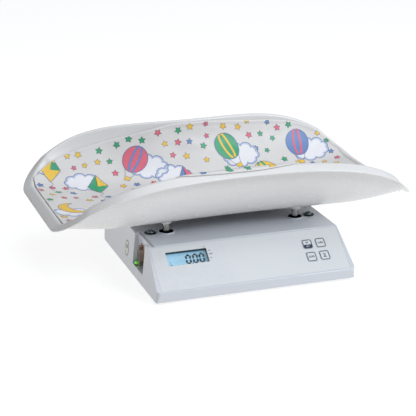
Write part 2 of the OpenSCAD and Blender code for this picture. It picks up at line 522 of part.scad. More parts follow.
// faces of a closed skin whose rings run one after another, with m points each; from ring
// `back` on the rings run down again, and their quads are split along the other diagonal,
// so that both sides of the skin have the same creases
function skin_faces(rows, m, back) = concat(
  [for (i = [0:rows - 2], j = [0:m - 1]) each let (k = (j + 1) % m, a = i * m + j, b = (i + 1) * m + j,
      c = (i + 1) * m + k, d = i * m + k)
    i < back ? [[a, c, b], [a, d, c]] : [[a, d, b], [d, c, b]]],
  [for (j = [0:m - 1]) [rows * m, (j + 1) % m, j]],
  [for (j = [0:m - 1]) [rows * m + 1, (rows - 1) * m + j, (rows - 1) * m + (j + 1) % m]]);
module tray_shell() color(white) {
  rows = concat(
    [for (i = [len(floor_steps) - 1:-1:0]) [for (q = rim) floor_pt(q, floor_steps[i], 0)]],
    [for (i = [len(wall_steps) - 1:-1:0]) [for (q = rim) wall_pt(q, wall_steps[i], 0)]],
    [for (i = [len(flange_top) - 1:-1:0]) [for (q = rim) rim_pt(q, flange_top[i][0], flange_top[i][1])]],
    [for (i = [len(flange_under) - 1:-1:0]) [for (q = rim) rim_pt(q, flange_under[i][0], flange_under[i][1])]],
    [for (s = wall_steps) if (s < 0.95) [for (q = rim) wall_pt(q, s, tray_t)]],
    [for (s = floor_steps) [for (q = rim) floor_pt(q, s, tray_t)]]);
  polyhedron(concat([for (r = rows) each r], [[0, tray_y, floor_h], [0, tray_y, floor_h - tray_t]]),
    skin_faces(len(rows), nr, len(floor_steps) + len(wall_steps) + len(flange_top)), convexity = 10);
}
module tray_sockets() color(white) at_posts() translate([0, 0, floor_h - tray_t - 3])
  tube(15.5, post_d + 2 * post_play, 3);

// ---------- pad ----------
pad_lift = 0.5;
pad_steps = [for (s = wall_steps) if (s < 0.95) s];
// point at height o above the wall's surface
function pad_pt(q, s, o) = let (a = wall_pt(q, s - 0.02, 0), b = wall_pt(q, s + 0.02, 0), t = unit(b - a))
  wall_pt(q, s, 0) + o * unit([-q[3] * t[2], -q[4] * t[2], norm([t[0], t[1]])]);
module pad() color([0.84, 0.83, 0.84]) {
  rows = concat(
    [for (i = [len(floor_steps) - 1:-1:0]) [for (q = rim) floor_pt(q, floor_steps[i], -pad_lift - pad_t)]],
    [for (i = [len(pad_steps) - 1:-1:0]) [for (q = rim) pad_pt(q, pad_steps[i], pad_lift + pad_t)]],
    [for (s = pad_steps) [for (q = rim) pad_pt(q, s, pad_lift)]],
    [for (s = floor_steps) [for (q = rim) floor_pt(q, s, -pad_lift)]]);
  polyhedron(concat([for (r = rows) each r],
    [[0, tray_y, floor_h + pad_lift + pad_t], [0, tray_y, floor_h + pad_lift]]),
    skin_faces(len(rows), nr, len(rows) / 2), convexity = 10);
}

housing_top();
front_overlay();
lcd_bezel();
lcd_window();
lcd_module();
display_board();
key_switches();
board_screws();
key_power();
key_tare();
key_zero();
key_hold();
screw_cups();
cover_screws();
chassis();
chassis_pillars();
chassis_screws();
foot_nuts();
main_board();
board_spacers();
battery();
battery_clamp();
battery_lead();
dc_jack();
serial_shell();
serial_insert();
serial_jackscrews();
level_cup();
level_liquid();
side_decal();
load_cell();
cell_spacer_lower();
cell_bolts_lower();
cell_lead();
cell_spacer_upper();
cell_bolts_upper();
weigh_platform();
posts();
post_nuts();
tray_shell();
tray_sockets();
pad();
foot_pad_fl();
foot_pad_fr();
foot_pad_rl();
foot_pad_rr();
foot_screw_fl();
foot_screw_fr();
foot_screw_rl();
foot_screw_rr();
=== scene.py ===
"""Looks of a digital baby weighing scale: base with a sloped panel, four posts, a trough tray and its pad."""
import math
import random

import bmesh
import bpy
import numpy as np
from mathutils import Matrix, Vector
from mathutils.bvhtree import BVHTree


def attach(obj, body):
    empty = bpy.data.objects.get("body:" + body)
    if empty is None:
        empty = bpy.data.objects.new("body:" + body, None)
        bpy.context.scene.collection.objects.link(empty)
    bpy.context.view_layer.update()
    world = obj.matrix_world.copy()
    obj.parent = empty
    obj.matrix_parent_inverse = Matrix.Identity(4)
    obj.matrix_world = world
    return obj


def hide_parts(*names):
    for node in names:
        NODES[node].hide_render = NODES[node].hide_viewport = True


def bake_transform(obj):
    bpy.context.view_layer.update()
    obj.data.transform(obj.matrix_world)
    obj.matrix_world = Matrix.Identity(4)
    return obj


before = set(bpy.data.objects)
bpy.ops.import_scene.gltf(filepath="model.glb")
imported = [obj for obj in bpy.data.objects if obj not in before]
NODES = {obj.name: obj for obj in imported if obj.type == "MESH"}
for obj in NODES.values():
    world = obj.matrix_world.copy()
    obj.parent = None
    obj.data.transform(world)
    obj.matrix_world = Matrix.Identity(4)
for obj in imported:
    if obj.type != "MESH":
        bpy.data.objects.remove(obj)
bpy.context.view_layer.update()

MM = 0.001
SCENE = bpy.context.scene

# ---------------------------------------------------------------- dimensions, mm, as in the CAD
BASE_W, BASE_D, BASE_Y = 290.0, 270.0, -29.35
TRAY_Y = BASE_Y + 41
Z0, Z1, Z2 = 4.0, 18.0, 64.0
YF = BASE_Y - BASE_D / 2
YL = YF - 3.5
YS = YF + 55
YR = BASE_Y + BASE_D / 2
SLOPE_A = math.atan2(Z2 - Z1, YS - YL)
SLOPE_LEN = math.hypot(Z2 - Z1, YS - YL)
DRAFT = math.atan2(6.2, 60.0)
POST_X, POST_Y = 96.8, (TRAY_Y - 70.5, TRAY_Y + 70.5)
SCREW_X = POST_X + 22
LCD_C, LCD_W, LCD_H, LCD_D = (-88.4, 51.5), 58.2, 21.7, 5.52
KEYS = {"power": (86.2, 48.4), "tare": (105.8, 48.4), "zero": (86.2, 27.8), "hold": (105.8, 27.8)}
KEY_W, KEY_H, KEY_TOP = 14.4, 15.0, 0.35
PORT = (-134.0, BASE_Y - 39, Z0 + 33.5)
LEVEL = (-138.8, BASE_Y - 27, Z0 + 15.5)
TRAY_C, TRAY_HW, CREST_H, CREST_DROP, END_H, FLANGE = 250.5, 134.5, 165.5, 57.0, 98.5, 12.5
FLOOR_H, TRAY_T = 84.0, 3.0
PAD_T, PAD_LIFT = 1.6, 0.5


# ---------------------------------------------------------------- camera
def make_camera():
    data = bpy.data.cameras.new("camera")
    data.sensor_width, data.sensor_fit, data.lens = 36.0, "HORIZONTAL", 114.57
    data.clip_start, data.clip_end = 0.05, 60
    cam = bpy.data.objects.new("camera", data)
    SCENE.collection.objects.link(cam)
    a, e = math.radians(-19.2033), math.radians(18.7543)
    back = Vector((math.sin(a) * math.cos(e), -math.cos(a) * math.cos(e), math.sin(e)))
    cam.location = (-0.61215, -1.71517, 0.68748)
    cam.rotation_mode = "QUATERNION"
    cam.rotation_quaternion = (-back).to_track_quat("-Z", "Y")
    SCENE.camera = cam


make_camera()


# ---------------------------------------------------------------- material helpers
def graph(name):
    m = bpy.data.materials.new(name)
    m.use_nodes = True
    t = m.node_tree
    t.nodes.clear()
    out = t.nodes.new("ShaderNodeOutputMaterial")
    bsdf = t.nodes.new("ShaderNodeBsdfPrincipled")
    t.links.new(bsdf.outputs["BSDF"], out.inputs["Surface"])
    return m, t, bsdf, out


def node(t, kind, **sockets):
    n = t.nodes.new(kind)
    for k, v in sockets.items():
        n.inputs[k.replace("_", " ")].default_value = v
    return n


def noise(t, scale, detail=3.0, rough=0.5, stretch=None):
    """Noise over the piece's own coordinates, which are metres in the row frame."""
    co = t.nodes.new("ShaderNodeTexCoord")
    src = co.outputs["Object"]
    if stretch:
        mp = t.nodes.new("ShaderNodeMapping")
        mp.inputs["Scale"].default_value = stretch
        t.links.new(src, mp.inputs["Vector"])
        src = mp.outputs["Vector"]
    n = t.nodes.new("ShaderNodeTexNoise")
    n.inputs["Scale"].default_value = scale
    n.inputs["Detail"].default_value = detail
    n.inputs["Roughness"].default_value = rough
    t.links.new(src, n.inputs["Vector"])
    return n.outputs["Fac"]


def spread(t, fac, lo, hi, a=0.3, b=0.7):
    """A number between lo and hi."""
    r = t.nodes.new("ShaderNodeMapRange")
    r.inputs["From Min"].default_value, r.inputs["From Max"].default_value = a, b
    r.inputs["To Min"].default_value, r.inputs["To Max"].default_value = lo, hi
    t.links.new(fac, r.inputs["Value"])
    return r.outputs["Result"]


def two_tone(t, fac, dark, light, a=0.35, b=0.65):
    r = t.nodes.new("ShaderNodeValToRGB")
    r.color_ramp.elements[0].position, r.color_ramp.elements[1].position = a, b
    r.color_ramp.elements[0].color, r.color_ramp.elements[1].color = (*dark, 1), (*light, 1)
    t.links.new(fac, r.inputs["Fac"])
    return r.outputs["Color"]


def bump(t, bsdf, fac, distance, strength=1.0, after=None):
    b = t.nodes.new("ShaderNodeBump")
    b.inputs["Distance"].default_value, b.inputs["Strength"].default_value = distance, strength
    t.links.new(fac, b.inputs["Height"])
    if after is not None:
        t.links.new(after, b.inputs["Normal"])
    t.links.new(b.outputs["Normal"], bsdf.inputs["Normal"])
    return b.outputs["Normal"]


def lin(r, g, b):
    """sRGB 0 to 255 as linear."""
    return tuple((c / 255 / 12.92) if c <= 10.31 else ((c / 255 + 0.055) / 1.055) ** 2.4 for c in (r, g, b))


def shade(c, k):
    return tuple(min(1.0, x * k) for x in c)


def plastic(name, colour, rough=0.35, vary=0.02, grain=1400.0, grain_mm=0.004, wave_mm=0.0, coat=0.0, ior=1.5, rough_vary=0.05):
    m, t, bsdf, _ = graph(name)
    big = noise(t, 14.0, 2.0)
    t.links.new(two_tone(t, big, shade(colour, 1 - vary), shade(colour, 1 + vary)), bsdf.inputs["Base Color"])
    t.links.new(spread(t, noise(t, 45.0, 4.0), rough - rough_vary, rough + rough_vary), bsdf.inputs["Roughness"])
    bsdf.inputs["IOR"].default_value = ior
    if coat:
        bsdf.inputs["Coat Weight"].default_value = coat
        bsdf.inputs["Coat Roughness"].default_value = 0.12
    first = None
    if wave_mm:
        first = bump(t, bsdf, noise(t, 22.0, 1.5), wave_mm * MM)
    bump(t, bsdf, noise(t, grain, 2.0), grain_mm * MM, 1.0, first)
    return m


def metal(name, colour, rough=0.25, brush=None, brush_mm=0.004, vary=0.06):
    m, t, bsdf, _ = graph(name)
    bsdf.inputs["Metallic"].default_value = 1.0
    fac = noise(t, 60.0, 5.0, 0.6)
    t.links.new(two_tone(t, fac, shade(colour, 1 - vary), shade(colour, 1 + vary)), bsdf.inputs["Base Color"])
    t.links.new(spread(t, noise(t, 220.0, 3.0), rough - 0.06, rough + 0.08), bsdf.inputs["Roughness"])
    bump(t, bsdf, noise(t, 500.0, 3.0, 0.6, brush or (1, 1, 1)), brush_mm * MM)
    return m


def paint_bore_shade(m):
    """Painted shade: the bores that the posts come up through are painted near black inside, where light does not
    reach.
    """
    t = m.node_tree
    bsdf = next(n for n in t.nodes if n.type == "BSDF_PRINCIPLED")
    co = t.nodes.new("ShaderNodeTexCoord")
    sep = t.nodes.new("ShaderNodeSeparateXYZ")
    t.links.new(co.outputs["Object"], sep.inputs["Vector"])

    def math_node(op, a, b=None):
        n = t.nodes.new("ShaderNodeMath")
        n.operation = op
        for i, v in enumerate((a, b)):
            if v is None:
                continue
            if isinstance(v, float):
                n.inputs[i].default_value = v
            else:
                t.links.new(v, n.inputs[i])
        return n.outputs["Value"]

    x = math_node("SUBTRACT", math_node("ABSOLUTE", sep.outputs["X"]), POST_X * MM)
    y = math_node("SUBTRACT", math_node("ABSOLUTE", math_node("SUBTRACT", sep.outputs["Y"], TRAY_Y * MM)), 0.0705)
    r = math_node("SQRT", math_node("ADD", math_node("MULTIPLY", x, x), math_node("MULTIPLY", y, y)))
    inside = math_node("LESS_THAN", r, 0.0102)
    mix = t.nodes.new("ShaderNodeMix")
    mix.data_type = "RGBA"
    old = bsdf.inputs["Base Color"].links[0].from_socket
    fac, a, b = (next(i for i in mix.inputs if i.identifier == k) for k in ("Factor_Float", "A_Color", "B_Color"))
    t.links.new(inside, fac)
    t.links.new(old, a)
    # painted shade: the near black colour inside the bores
    b.default_value = (0.012, 0.012, 0.014, 1)
    t.links.new(next(o for o in mix.outputs if o.identifier == "Result_Color"), bsdf.inputs["Base Color"])


MATS = {}


def build_materials():
    M = MATS
    white = (0.562, 0.586, 0.632)
    M["housing_white"] = plastic("housing_white", white, 0.16, 0.006, 420, 0.0011, 0.006, rough_vary=0.015)
    paint_bore_shade(M["housing_white"])
    M["tray_white"] = plastic("tray_white", (0.668, 0.664, 0.658), 0.27, 0.006, 420, 0.0002, 0.0015, rough_vary=0.01)
    M["frame_black"] = plastic("frame_black", (0.012, 0.013, 0.016), 0.25, 0.1, 1500, 0.003)
    M["board_green"] = plastic("board_green", (0.02, 0.14, 0.06), 0.4, 0.15, 700, 0.01)
    M["switch_black"] = plastic("switch_black", (0.02, 0.02, 0.022), 0.5, 0.15, 1800, 0.006)
    M["key_navy"] = plastic("key_navy", (0.615, 0.637, 0.650), 0.34, 0.008, 700, 0.001, rough_vary=0.02)
    M["key_pale"] = plastic("key_pale", (0.615, 0.637, 0.650), 0.34, 0.008, 700, 0.001, rough_vary=0.02)
    M["inlet_black"] = plastic("inlet_black", (0.015, 0.015, 0.016), 0.42, 0.12, 1800, 0.006)
    M["cup_black"] = plastic("cup_black", (0.010, 0.016, 0.018), 0.22, 0.2, 900, 0.006)
    M["battery_grey"] = plastic("battery_grey", (0.05, 0.053, 0.06), 0.5, 0.1, 1200, 0.01)
    M["lead_dark"] = plastic("lead_dark", (0.03, 0.03, 0.035), 0.45, 0.1, 1800, 0.006)
    M["lead_red"] = plastic("lead_red", (0.42, 0.012, 0.012), 0.42, 0.1, 1800, 0.006)
    M["rubber_black"] = plastic("rubber_black", (0.018, 0.018, 0.018), 0.72, 0.15, 2200, 0.02)
    M["pad_vinyl"] = pad_material()
    M["zinc_steel"] = metal("zinc_steel", (0.62, 0.63, 0.62), 0.28)
    M["sheet_steel"] = metal("sheet_steel", (0.50, 0.51, 0.52), 0.38, (1, 22, 22), 0.006)
    M["post_bright"] = metal("post_bright", (0.46, 0.45, 0.42), 0.15, (1, 1, 14), 0.002, 0.03)
    M["cell_aluminium"] = metal("cell_aluminium", (0.74, 0.74, 0.75), 0.32, (1, 30, 30), 0.006)
    M["dark_screw"] = metal("dark_screw", (0.15, 0.21, 0.24), 0.17, None, 0.006, 0.25)
    M["port_metal"] = metal("port_metal", (0.40, 0.30, 0.235), 0.34, None, 0.008, 0.18)
    M["panel_film"] = film_material()
    M["label_pale"] = plastic("label_pale", (0.74, 0.76, 0.70), 0.35, 0.02, 1800, 0.002)
    M["window_clear"] = clear_material("window_clear", (1, 1, 1), 0.04)
    M["display_glass"] = display_material()
    M["level_clear"] = clear_material("level_clear", (0.86, 1.0, 0.80), 0.06)
    # painted light: the level's green is made to glow
    M["level_green"] = painted_glow_plastic("level_green", (0.16, 0.62, 0.05), 0.16, 0.35)
    M["ink_navy"] = plastic("ink_navy", lin(34, 40, 66), 0.38, 0.08, 2000, 0.002)
    M["ink_grey"] = plastic("ink_grey", lin(66, 75, 90), 0.4, 0.06, 2000, 0.001)
    M["ink_dark"] = plastic("ink_dark", lin(52, 59, 74), 0.4, 0.08, 2000, 0.001)
    M["ink_faint"] = plastic("ink_faint", lin(192, 197, 206), 0.38, 0.03, 2000, 0.001)
    M["segment"] = plastic("segment", lin(16, 30, 38), 0.6, 0.06, 700, 0.001, ior=1.25)
    M["decal_green"] = plastic("decal_green", lin(62, 124, 72), 0.38, 0.08, 2000, 0.001)
    M["decal_yellow"] = plastic("decal_yellow", lin(214, 196, 84), 0.38, 0.06, 700, 0.001)
    M["print_green"] = ink("print_green", lin(48, 156, 110))
    M["print_blue"] = ink("print_blue", lin(96, 130, 184))
    M["print_yellow"] = ink("print_yellow", lin(230, 188, 58))
    M["print_pink"] = ink("print_pink", lin(214, 96, 118))
    M["print_line"] = ink("print_line", lin(92, 112, 160))
    M["print_haze"] = ink("print_haze", lin(178, 190, 216), 0.01)
    M["print_dark"] = ink("print_dark", lin(60, 74, 96))
    M["print_white"] = ink("print_white", lin(226, 226, 230), 0.01)


def pad_material():
    """Vinyl sheet: soft satin skin with a fine embossed grain."""
    m, t, bsdf, _ = graph("pad_vinyl")
    base = (0.650, 0.634, 0.622)
    t.links.new(two_tone(t, noise(t, 9.0, 2.0), shade(base, 0.985), shade(base, 1.015)), bsdf.inputs["Base Color"])
    t.links.new(spread(t, noise(t, 60.0, 4.0), 0.38, 0.48), bsdf.inputs["Roughness"])
    bsdf.inputs["Sheen Weight"].default_value = 0.08
    bsdf.inputs["Sheen Roughness"].default_value = 0.4
    v = t.nodes.new("ShaderNodeTexVoronoi")
    v.inputs["Scale"].default_value = 1100.0
    co = t.nodes.new("ShaderNodeTexCoord")
    t.links.new(co.outputs["Object"], v.inputs["Vector"])
    first = bump(t, bsdf, noise(t, 30.0, 2.0), 0.03 * MM)
    bump(t, bsdf, v.outputs["Distance"], 0.004 * MM, 1.0, first)
    return m


def ink(name, colour, vary=0.05):
    """Print on the vinyl: even colour with the slight mottle of screen printing."""
    m, t, bsdf, _ = graph(name)
    t.links.new(two_tone(t, noise(t, 260.0, 3.0, 0.6), shade(colour, 1 - vary), shade(colour, 1 + vary)), bsdf.inputs["Base Color"])
    t.links.new(spread(t, noise(t, 90.0, 3.0), 0.38, 0.44), bsdf.inputs["Roughness"])
    bump(t, bsdf, noise(t, 600.0, 2.0), 0.002 * MM)
    return m


def film_material():
    """Satin polyester film with a faint cool tint."""
    m, t, bsdf, _ = graph("panel_film")
    c = (0.615, 0.637, 0.650)
    t.links.new(two_tone(t, noise(t, 10.0, 2.0), shade(c, 0.994), shade(c, 1.006)), bsdf.inputs["Base Color"])
    t.links.new(spread(t, noise(t, 80.0, 4.0), 0.22, 0.26), bsdf.inputs["Roughness"])
    bump(t, bsdf, noise(t, 700.0, 2.0), 0.0007 * MM)
    return m


def clear_material(name, tint, rough, ior=1.22):
    """Thin clear pane: what is behind shows through, with a gloss on top."""
    m, t, bsdf, out = graph(name)
    t.nodes.remove(bsdf)
    clear = t.nodes.new("ShaderNodeBsdfTransparent")
    clear.inputs["Color"].default_value = (*tint, 1)
    gloss = t.nodes.new("ShaderNodeBsdfGlossy")
    gloss.inputs["Color"].default_value = (1, 1, 1, 1)
    gloss.inputs["Roughness"].default_value = rough
    fres = t.nodes.new("ShaderNodeFresnel")
    t.links.new(spread(t, noise(t, 60.0, 2.0), ior - 0.01, ior + 0.01), fres.inputs["IOR"])
    mix = t.nodes.new("ShaderNodeMixShader")
    t.links.new(fres.outputs["Fac"], mix.inputs["Fac"])
    t.links.new(clear.outputs["BSDF"], mix.inputs[1])
    t.links.new(gloss.outputs["BSDF"], mix.inputs[2])
    t.links.new(mix.outputs["Shader"], out.inputs["Surface"])
    return m


def display_material():
    """Backlit glass: pale blue, with painted shade that darkens it from the left towards the right."""
    m, t, bsdf, _ = graph("display_glass")
    # painted shade: lighter at the left and darker towards the right, where the bezel shades the glass
    co = t.nodes.new("ShaderNodeTexCoord")
    sep = t.nodes.new("ShaderNodeSeparateXYZ")
    t.links.new(co.outputs["Object"], sep.inputs["Vector"])
    col = two_tone(t, spread(t, sep.outputs["X"], 0.0, 1.0, -0.119, -0.055), lin(150, 196, 220), lin(112, 160, 182), 0.0, 1.0)
    t.links.new(col, bsdf.inputs["Base Color"])
    t.links.new(col, bsdf.inputs["Emission Color"])
    bsdf.inputs["Emission Strength"].default_value = 0.30
    m.cycles.emission_sampling = "NONE"
    t.links.new(spread(t, noise(t, 60.0, 2.0), 0.36, 0.40), bsdf.inputs["Roughness"])
    bump(t, bsdf, noise(t, 300.0, 1.0), 0.0006 * MM)
    return m


def painted_glow_plastic(name, colour, rough, emit):
    m, t, bsdf, _ = graph(name)
    col = two_tone(t, noise(t, 400.0, 2.0), shade(colour, 0.9), shade(colour, 1.1))
    t.links.new(col, bsdf.inputs["Base Color"])
    # painted light: the colour is also given off as light, so the part glows though it is no lamp
    t.links.new(col, bsdf.inputs["Emission Color"])
    bsdf.inputs["Emission Strength"].default_value = emit
    m.cycles.emission_sampling = "NONE"
    t.links.new(spread(t, noise(t, 300.0, 2.0), rough, rough + 0.08), bsdf.inputs["Roughness"])
    return m


build_materials()


# ---------------------------------------------------------------- finish of the CAD nodes
def smooth_group():
    """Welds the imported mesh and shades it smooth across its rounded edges, sharp elsewhere."""
    g = bpy.data.node_groups.new("soft_edges", "GeometryNodeTree")
    g.interface.new_socket("Geometry", in_out="INPUT", socket_type="NodeSocketGeometry")
    g.interface.new_socket("Geometry", in_out="OUTPUT", socket_type="NodeSocketGeometry")
    i, o = g.nodes.new("NodeGroupInput"), g.nodes.new("NodeGroupOutput")
    weld = g.nodes.new("GeometryNodeMergeByDistance")
    weld.inputs["Distance"].default_value = 2e-6
    angle = g.nodes.new("GeometryNodeInputMeshEdgeAngle")
    over = g.nodes.new("FunctionNodeCompare")
    over.data_type, over.operation = "FLOAT", "GREATER_THAN"
    over.inputs[1].default_value = math.radians(33)
    g.links.new(angle.outputs["Unsigned Angle"], over.inputs[0])
    sharp = g.nodes.new("GeometryNodeSetMeshNormal")
    sharp.mode = "SHARPNESS"
    sharp.inputs["Remove Custom"].default_value = True
    g.links.new(over.outputs["Result"], sharp.inputs["Edge Sharpness"])
    g.links.new(i.outputs[0], weld.inputs["Geometry"])
    g.links.new(weld.outputs["Geometry"], sharp.inputs["Mesh"])
    g.links.new(sharp.outputs["Mesh"], o.inputs[0])
    return g


SOFT = smooth_group()


def soften(o):
    mod = o.modifiers.new("soft_edges", "NODES")
    mod.node_group = SOFT
    w = o.modifiers.new("weighted", "WEIGHTED_NORMAL")
    w.keep_sharp, w.weight, w.mode = True, 90, "FACE_AREA"


def dress_nodes():
    for name, o in NODES.items():
        for i, m in enumerate(o.data.materials):
            key = m.name.split(".")[0]
            o.data.materials[i] = MATS[key]
        soften(o)


dress_nodes()


# ---------------------------------------------------------------- pieces
def piece(name, verts, faces, body, mats, replaces=(), which=None, smooth=True):
    """A mesh in mm, in the row frame."""
    me = bpy.data.meshes.new(name)
    me.from_pydata([tuple(float(c) * MM for c in v) for v in verts], [], [tuple(int(i) for i in f) for f in faces])
    for m in [mats] if isinstance(mats, str) else mats:
        me.materials.append(MATS[m])
    if which is not None:
        me.polygons.foreach_set("material_index", np.array(which, np.int32))
    me.polygons.foreach_set("use_smooth", np.full(len(me.polygons), smooth))
    me.validate()
    me.update()
    o = bpy.data.objects.new(name, me)
    SCENE.collection.objects.link(o)
    if body:
        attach(o, body)
    if replaces:
        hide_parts(*replaces)
    return o


def skin(rows, closed=True):
    """Quads between rows of points of one length; closed rows run round."""
    m = len(rows[0])
    f = []
    for i in range(len(rows) - 1):
        for j in range(m if closed else m - 1):
            k = (j + 1) % m
            f.append((i * m + j, i * m + k, (i + 1) * m + k, (i + 1) * m + j))
    return np.concatenate([np.asarray(r, float) for r in rows]), f


# ---------------------------------------------------------------- tray
def rim_hw(x):
    u = np.abs(x) / TRAY_C
    return TRAY_HW + 49 * u ** 2 - 70.5 * u ** 4


def rim_z(x):
    return CREST_H - CREST_DROP * (np.abs(x) / TRAY_C) ** 4.1


def floor_z(x):
    return FLOOR_H + 11 * (np.maximum(0, np.abs(x) - 160) / 90) ** 1.5


def tray_rim(n_side=54, n_corner=20, n_end=14):
    """Rows x, y, z, nx, ny of the rim's crest round the tray, y from the tray's centre."""
    cr, ca = 50.0, math.radians(67)
    cx = TRAY_C - cr * (1 - math.cos(ca))
    cc = (cx - cr * math.cos(ca), rim_hw(cx) - cr * math.sin(ca))
    zs, ze = float(rim_z(cx)), END_H + 0.4
    q = []
    for i in range(n_side + 1):
        t = i / n_side
        x = cx * math.sin(math.pi / 2 * t) * (0.35 + 0.65 * t)
        g = rim_hw(x + 0.5) - rim_hw(x - 0.5)
        n = np.array([-g, 1]) / math.hypot(g, 1)
        q.append([x, rim_hw(x), rim_z(x), n[0], n[1]])
    for i in range(1, n_corner + 1):
        s = i / n_corner
        a = ca * (1 - s)
        q.append([cc[0] + cr * math.cos(a), cc[1] + cr * math.sin(a), ze + (zs - ze) * (1 - s) ** 1.6, math.cos(a), math.sin(a)])
    for i in range(1, n_end + 1):
        s = 1 - i / n_end
        q.append([TRAY_C, cc[1] * s, END_H + (ze - END_H) * s ** 4, 1, 0])
    q = np.array(q, float)

    def flip(a, sx, sy):
        return a * np.array([sx, sy, 1, sx, sy])

    # anticlockwise, from mid length on the rear side
    return np.concatenate([flip(q, -1, 1), flip(q[-2::-1], -1, -1), flip(q[1:], 1, -1), flip(q[-2:0:-1], 1, 1)])


RIM = tray_rim()
TM, PW = math.radians(78), 2 / 1.75


def flat_share(q):
    return ((np.abs(q[:, 1]) / 72) ** 6 + (1 / 0.94) ** 6) ** (-1 / 6)


def wall_row(q, s, o):
    h = -3.5 + o
    ex, ey, ez = q[:, 0] + q[:, 3] * h, q[:, 1] + q[:, 4] * h, q[:, 2] - 3.5 - o
    f, th = flat_share(q), TM * s
    v = (math.sin(th) / math.sin(TM)) ** PW
    g = (1 - math.cos(th) ** PW) / (1 - math.cos(TM) ** PW)
    r = f + (1 - f) * v
    x = ex * r
    z0 = floor_z(x) - o
    return np.stack([x, TRAY_Y + ey * r, z0 + (ez - floor_z(ex) + o) * g], 1)


def floor_row(q, s, o):
    h = -3.5 + o
    r = flat_share(q) * s
    x = (q[:, 0] + q[:, 3] * h) * r
    return np.stack([x, TRAY_Y + (q[:, 1] + q[:, 4] * h) * r, floor_z(x) - o], 1)


def rim_row(q, d, h):
    return np.stack([q[:, 0] + q[:, 3] * d, TRAY_Y + q[:, 1] + q[:, 4] * d, q[:, 2] + h], 1)


def spline(pts, n):
    """Points along a smooth line through pts, n for each span."""
    p = np.array(pts, float)
    p = np.concatenate([2 * p[:1] - p[1:2], p, 2 * p[-1:] - p[-2:-1]])
    out = []
    for i in range(1, len(p) - 2):
        for t in np.linspace(0, 1, n, endpoint=False):
            a, b, c, d = p[i - 1], p[i], p[i + 1], p[i + 2]
            out.append(0.5 * (2 * b + (c - a) * t + (2 * a - 5 * b + 4 * c - d) * t * t + (3 * b - a - 3 * c + d) * t ** 3))
    out.append(p[-2])
    return np.array(out)


RIM_TOP = [(-3.0, -1.8), (-1.8, -0.5), (0, 0), (2.5, -0.7), (5, -2.1), (9, -4.5), (12.0, -6.5), (12.85, -7.6)]
RIM_EDGE = [(12.85, -7.6), (12.75, -8.6), (11.9, -9.2), (10.6, -8.9)]
RIM_UNDER = [(10.6, -8.9), (6.25, -6.3), (2.6, -5.5), (0.9, -6.2), (-0.1, -8.0)]


def tray_rows(q):
    """From the middle of the floor up the inside, over the rim and down the outside."""
    rows = [floor_row(q, s, 0) for s in (0.15, 0.35, 0.55, 0.72, 0.86, 0.95, 1.0)]
    rows += [wall_row(q, s, 0) for s in np.linspace(0, 1, 27)[1:]]
    inner = len(rows)
    for line, n in ((RIM_TOP, 3), (RIM_EDGE, 2), (RIM_UNDER, 3)):
        for d, h in spline(line, n)[0 if line is RIM_TOP else 1:]:
            rows.append(rim_row(q, d, h))
    rows += [wall_row(q, s, TRAY_T) for s in np.linspace(0, 1, 23)[1:-2][::-1]]
    rows += [floor_row(q, s, TRAY_T) for s in (1.0, 0.95, 0.86, 0.72, 0.55, 0.35, 0.15)]
    return rows, inner


def make_tray():
    rows, _ = tray_rows(RIM)
    v, f = skin(rows)
    m = len(RIM)
    n = len(v)
    v = np.concatenate([v, [[0, TRAY_Y, FLOOR_H], [0, TRAY_Y, FLOOR_H - TRAY_T]]])
    last = (len(rows) - 1) * m
    # the rim runs anticlockwise and the rows outwards, so the faces turn over to look out of the wall
    f = [tuple(reversed(x)) for x in f]
    f += [(n, j, (j + 1) % m) for j in range(m)]
    f += [(n + 1, last + (j + 1) % m, last + j) for j in range(m)]
    return piece("tray", v, f, "tray", "tray_white", ["tray_shell"])


TRAY = make_tray()


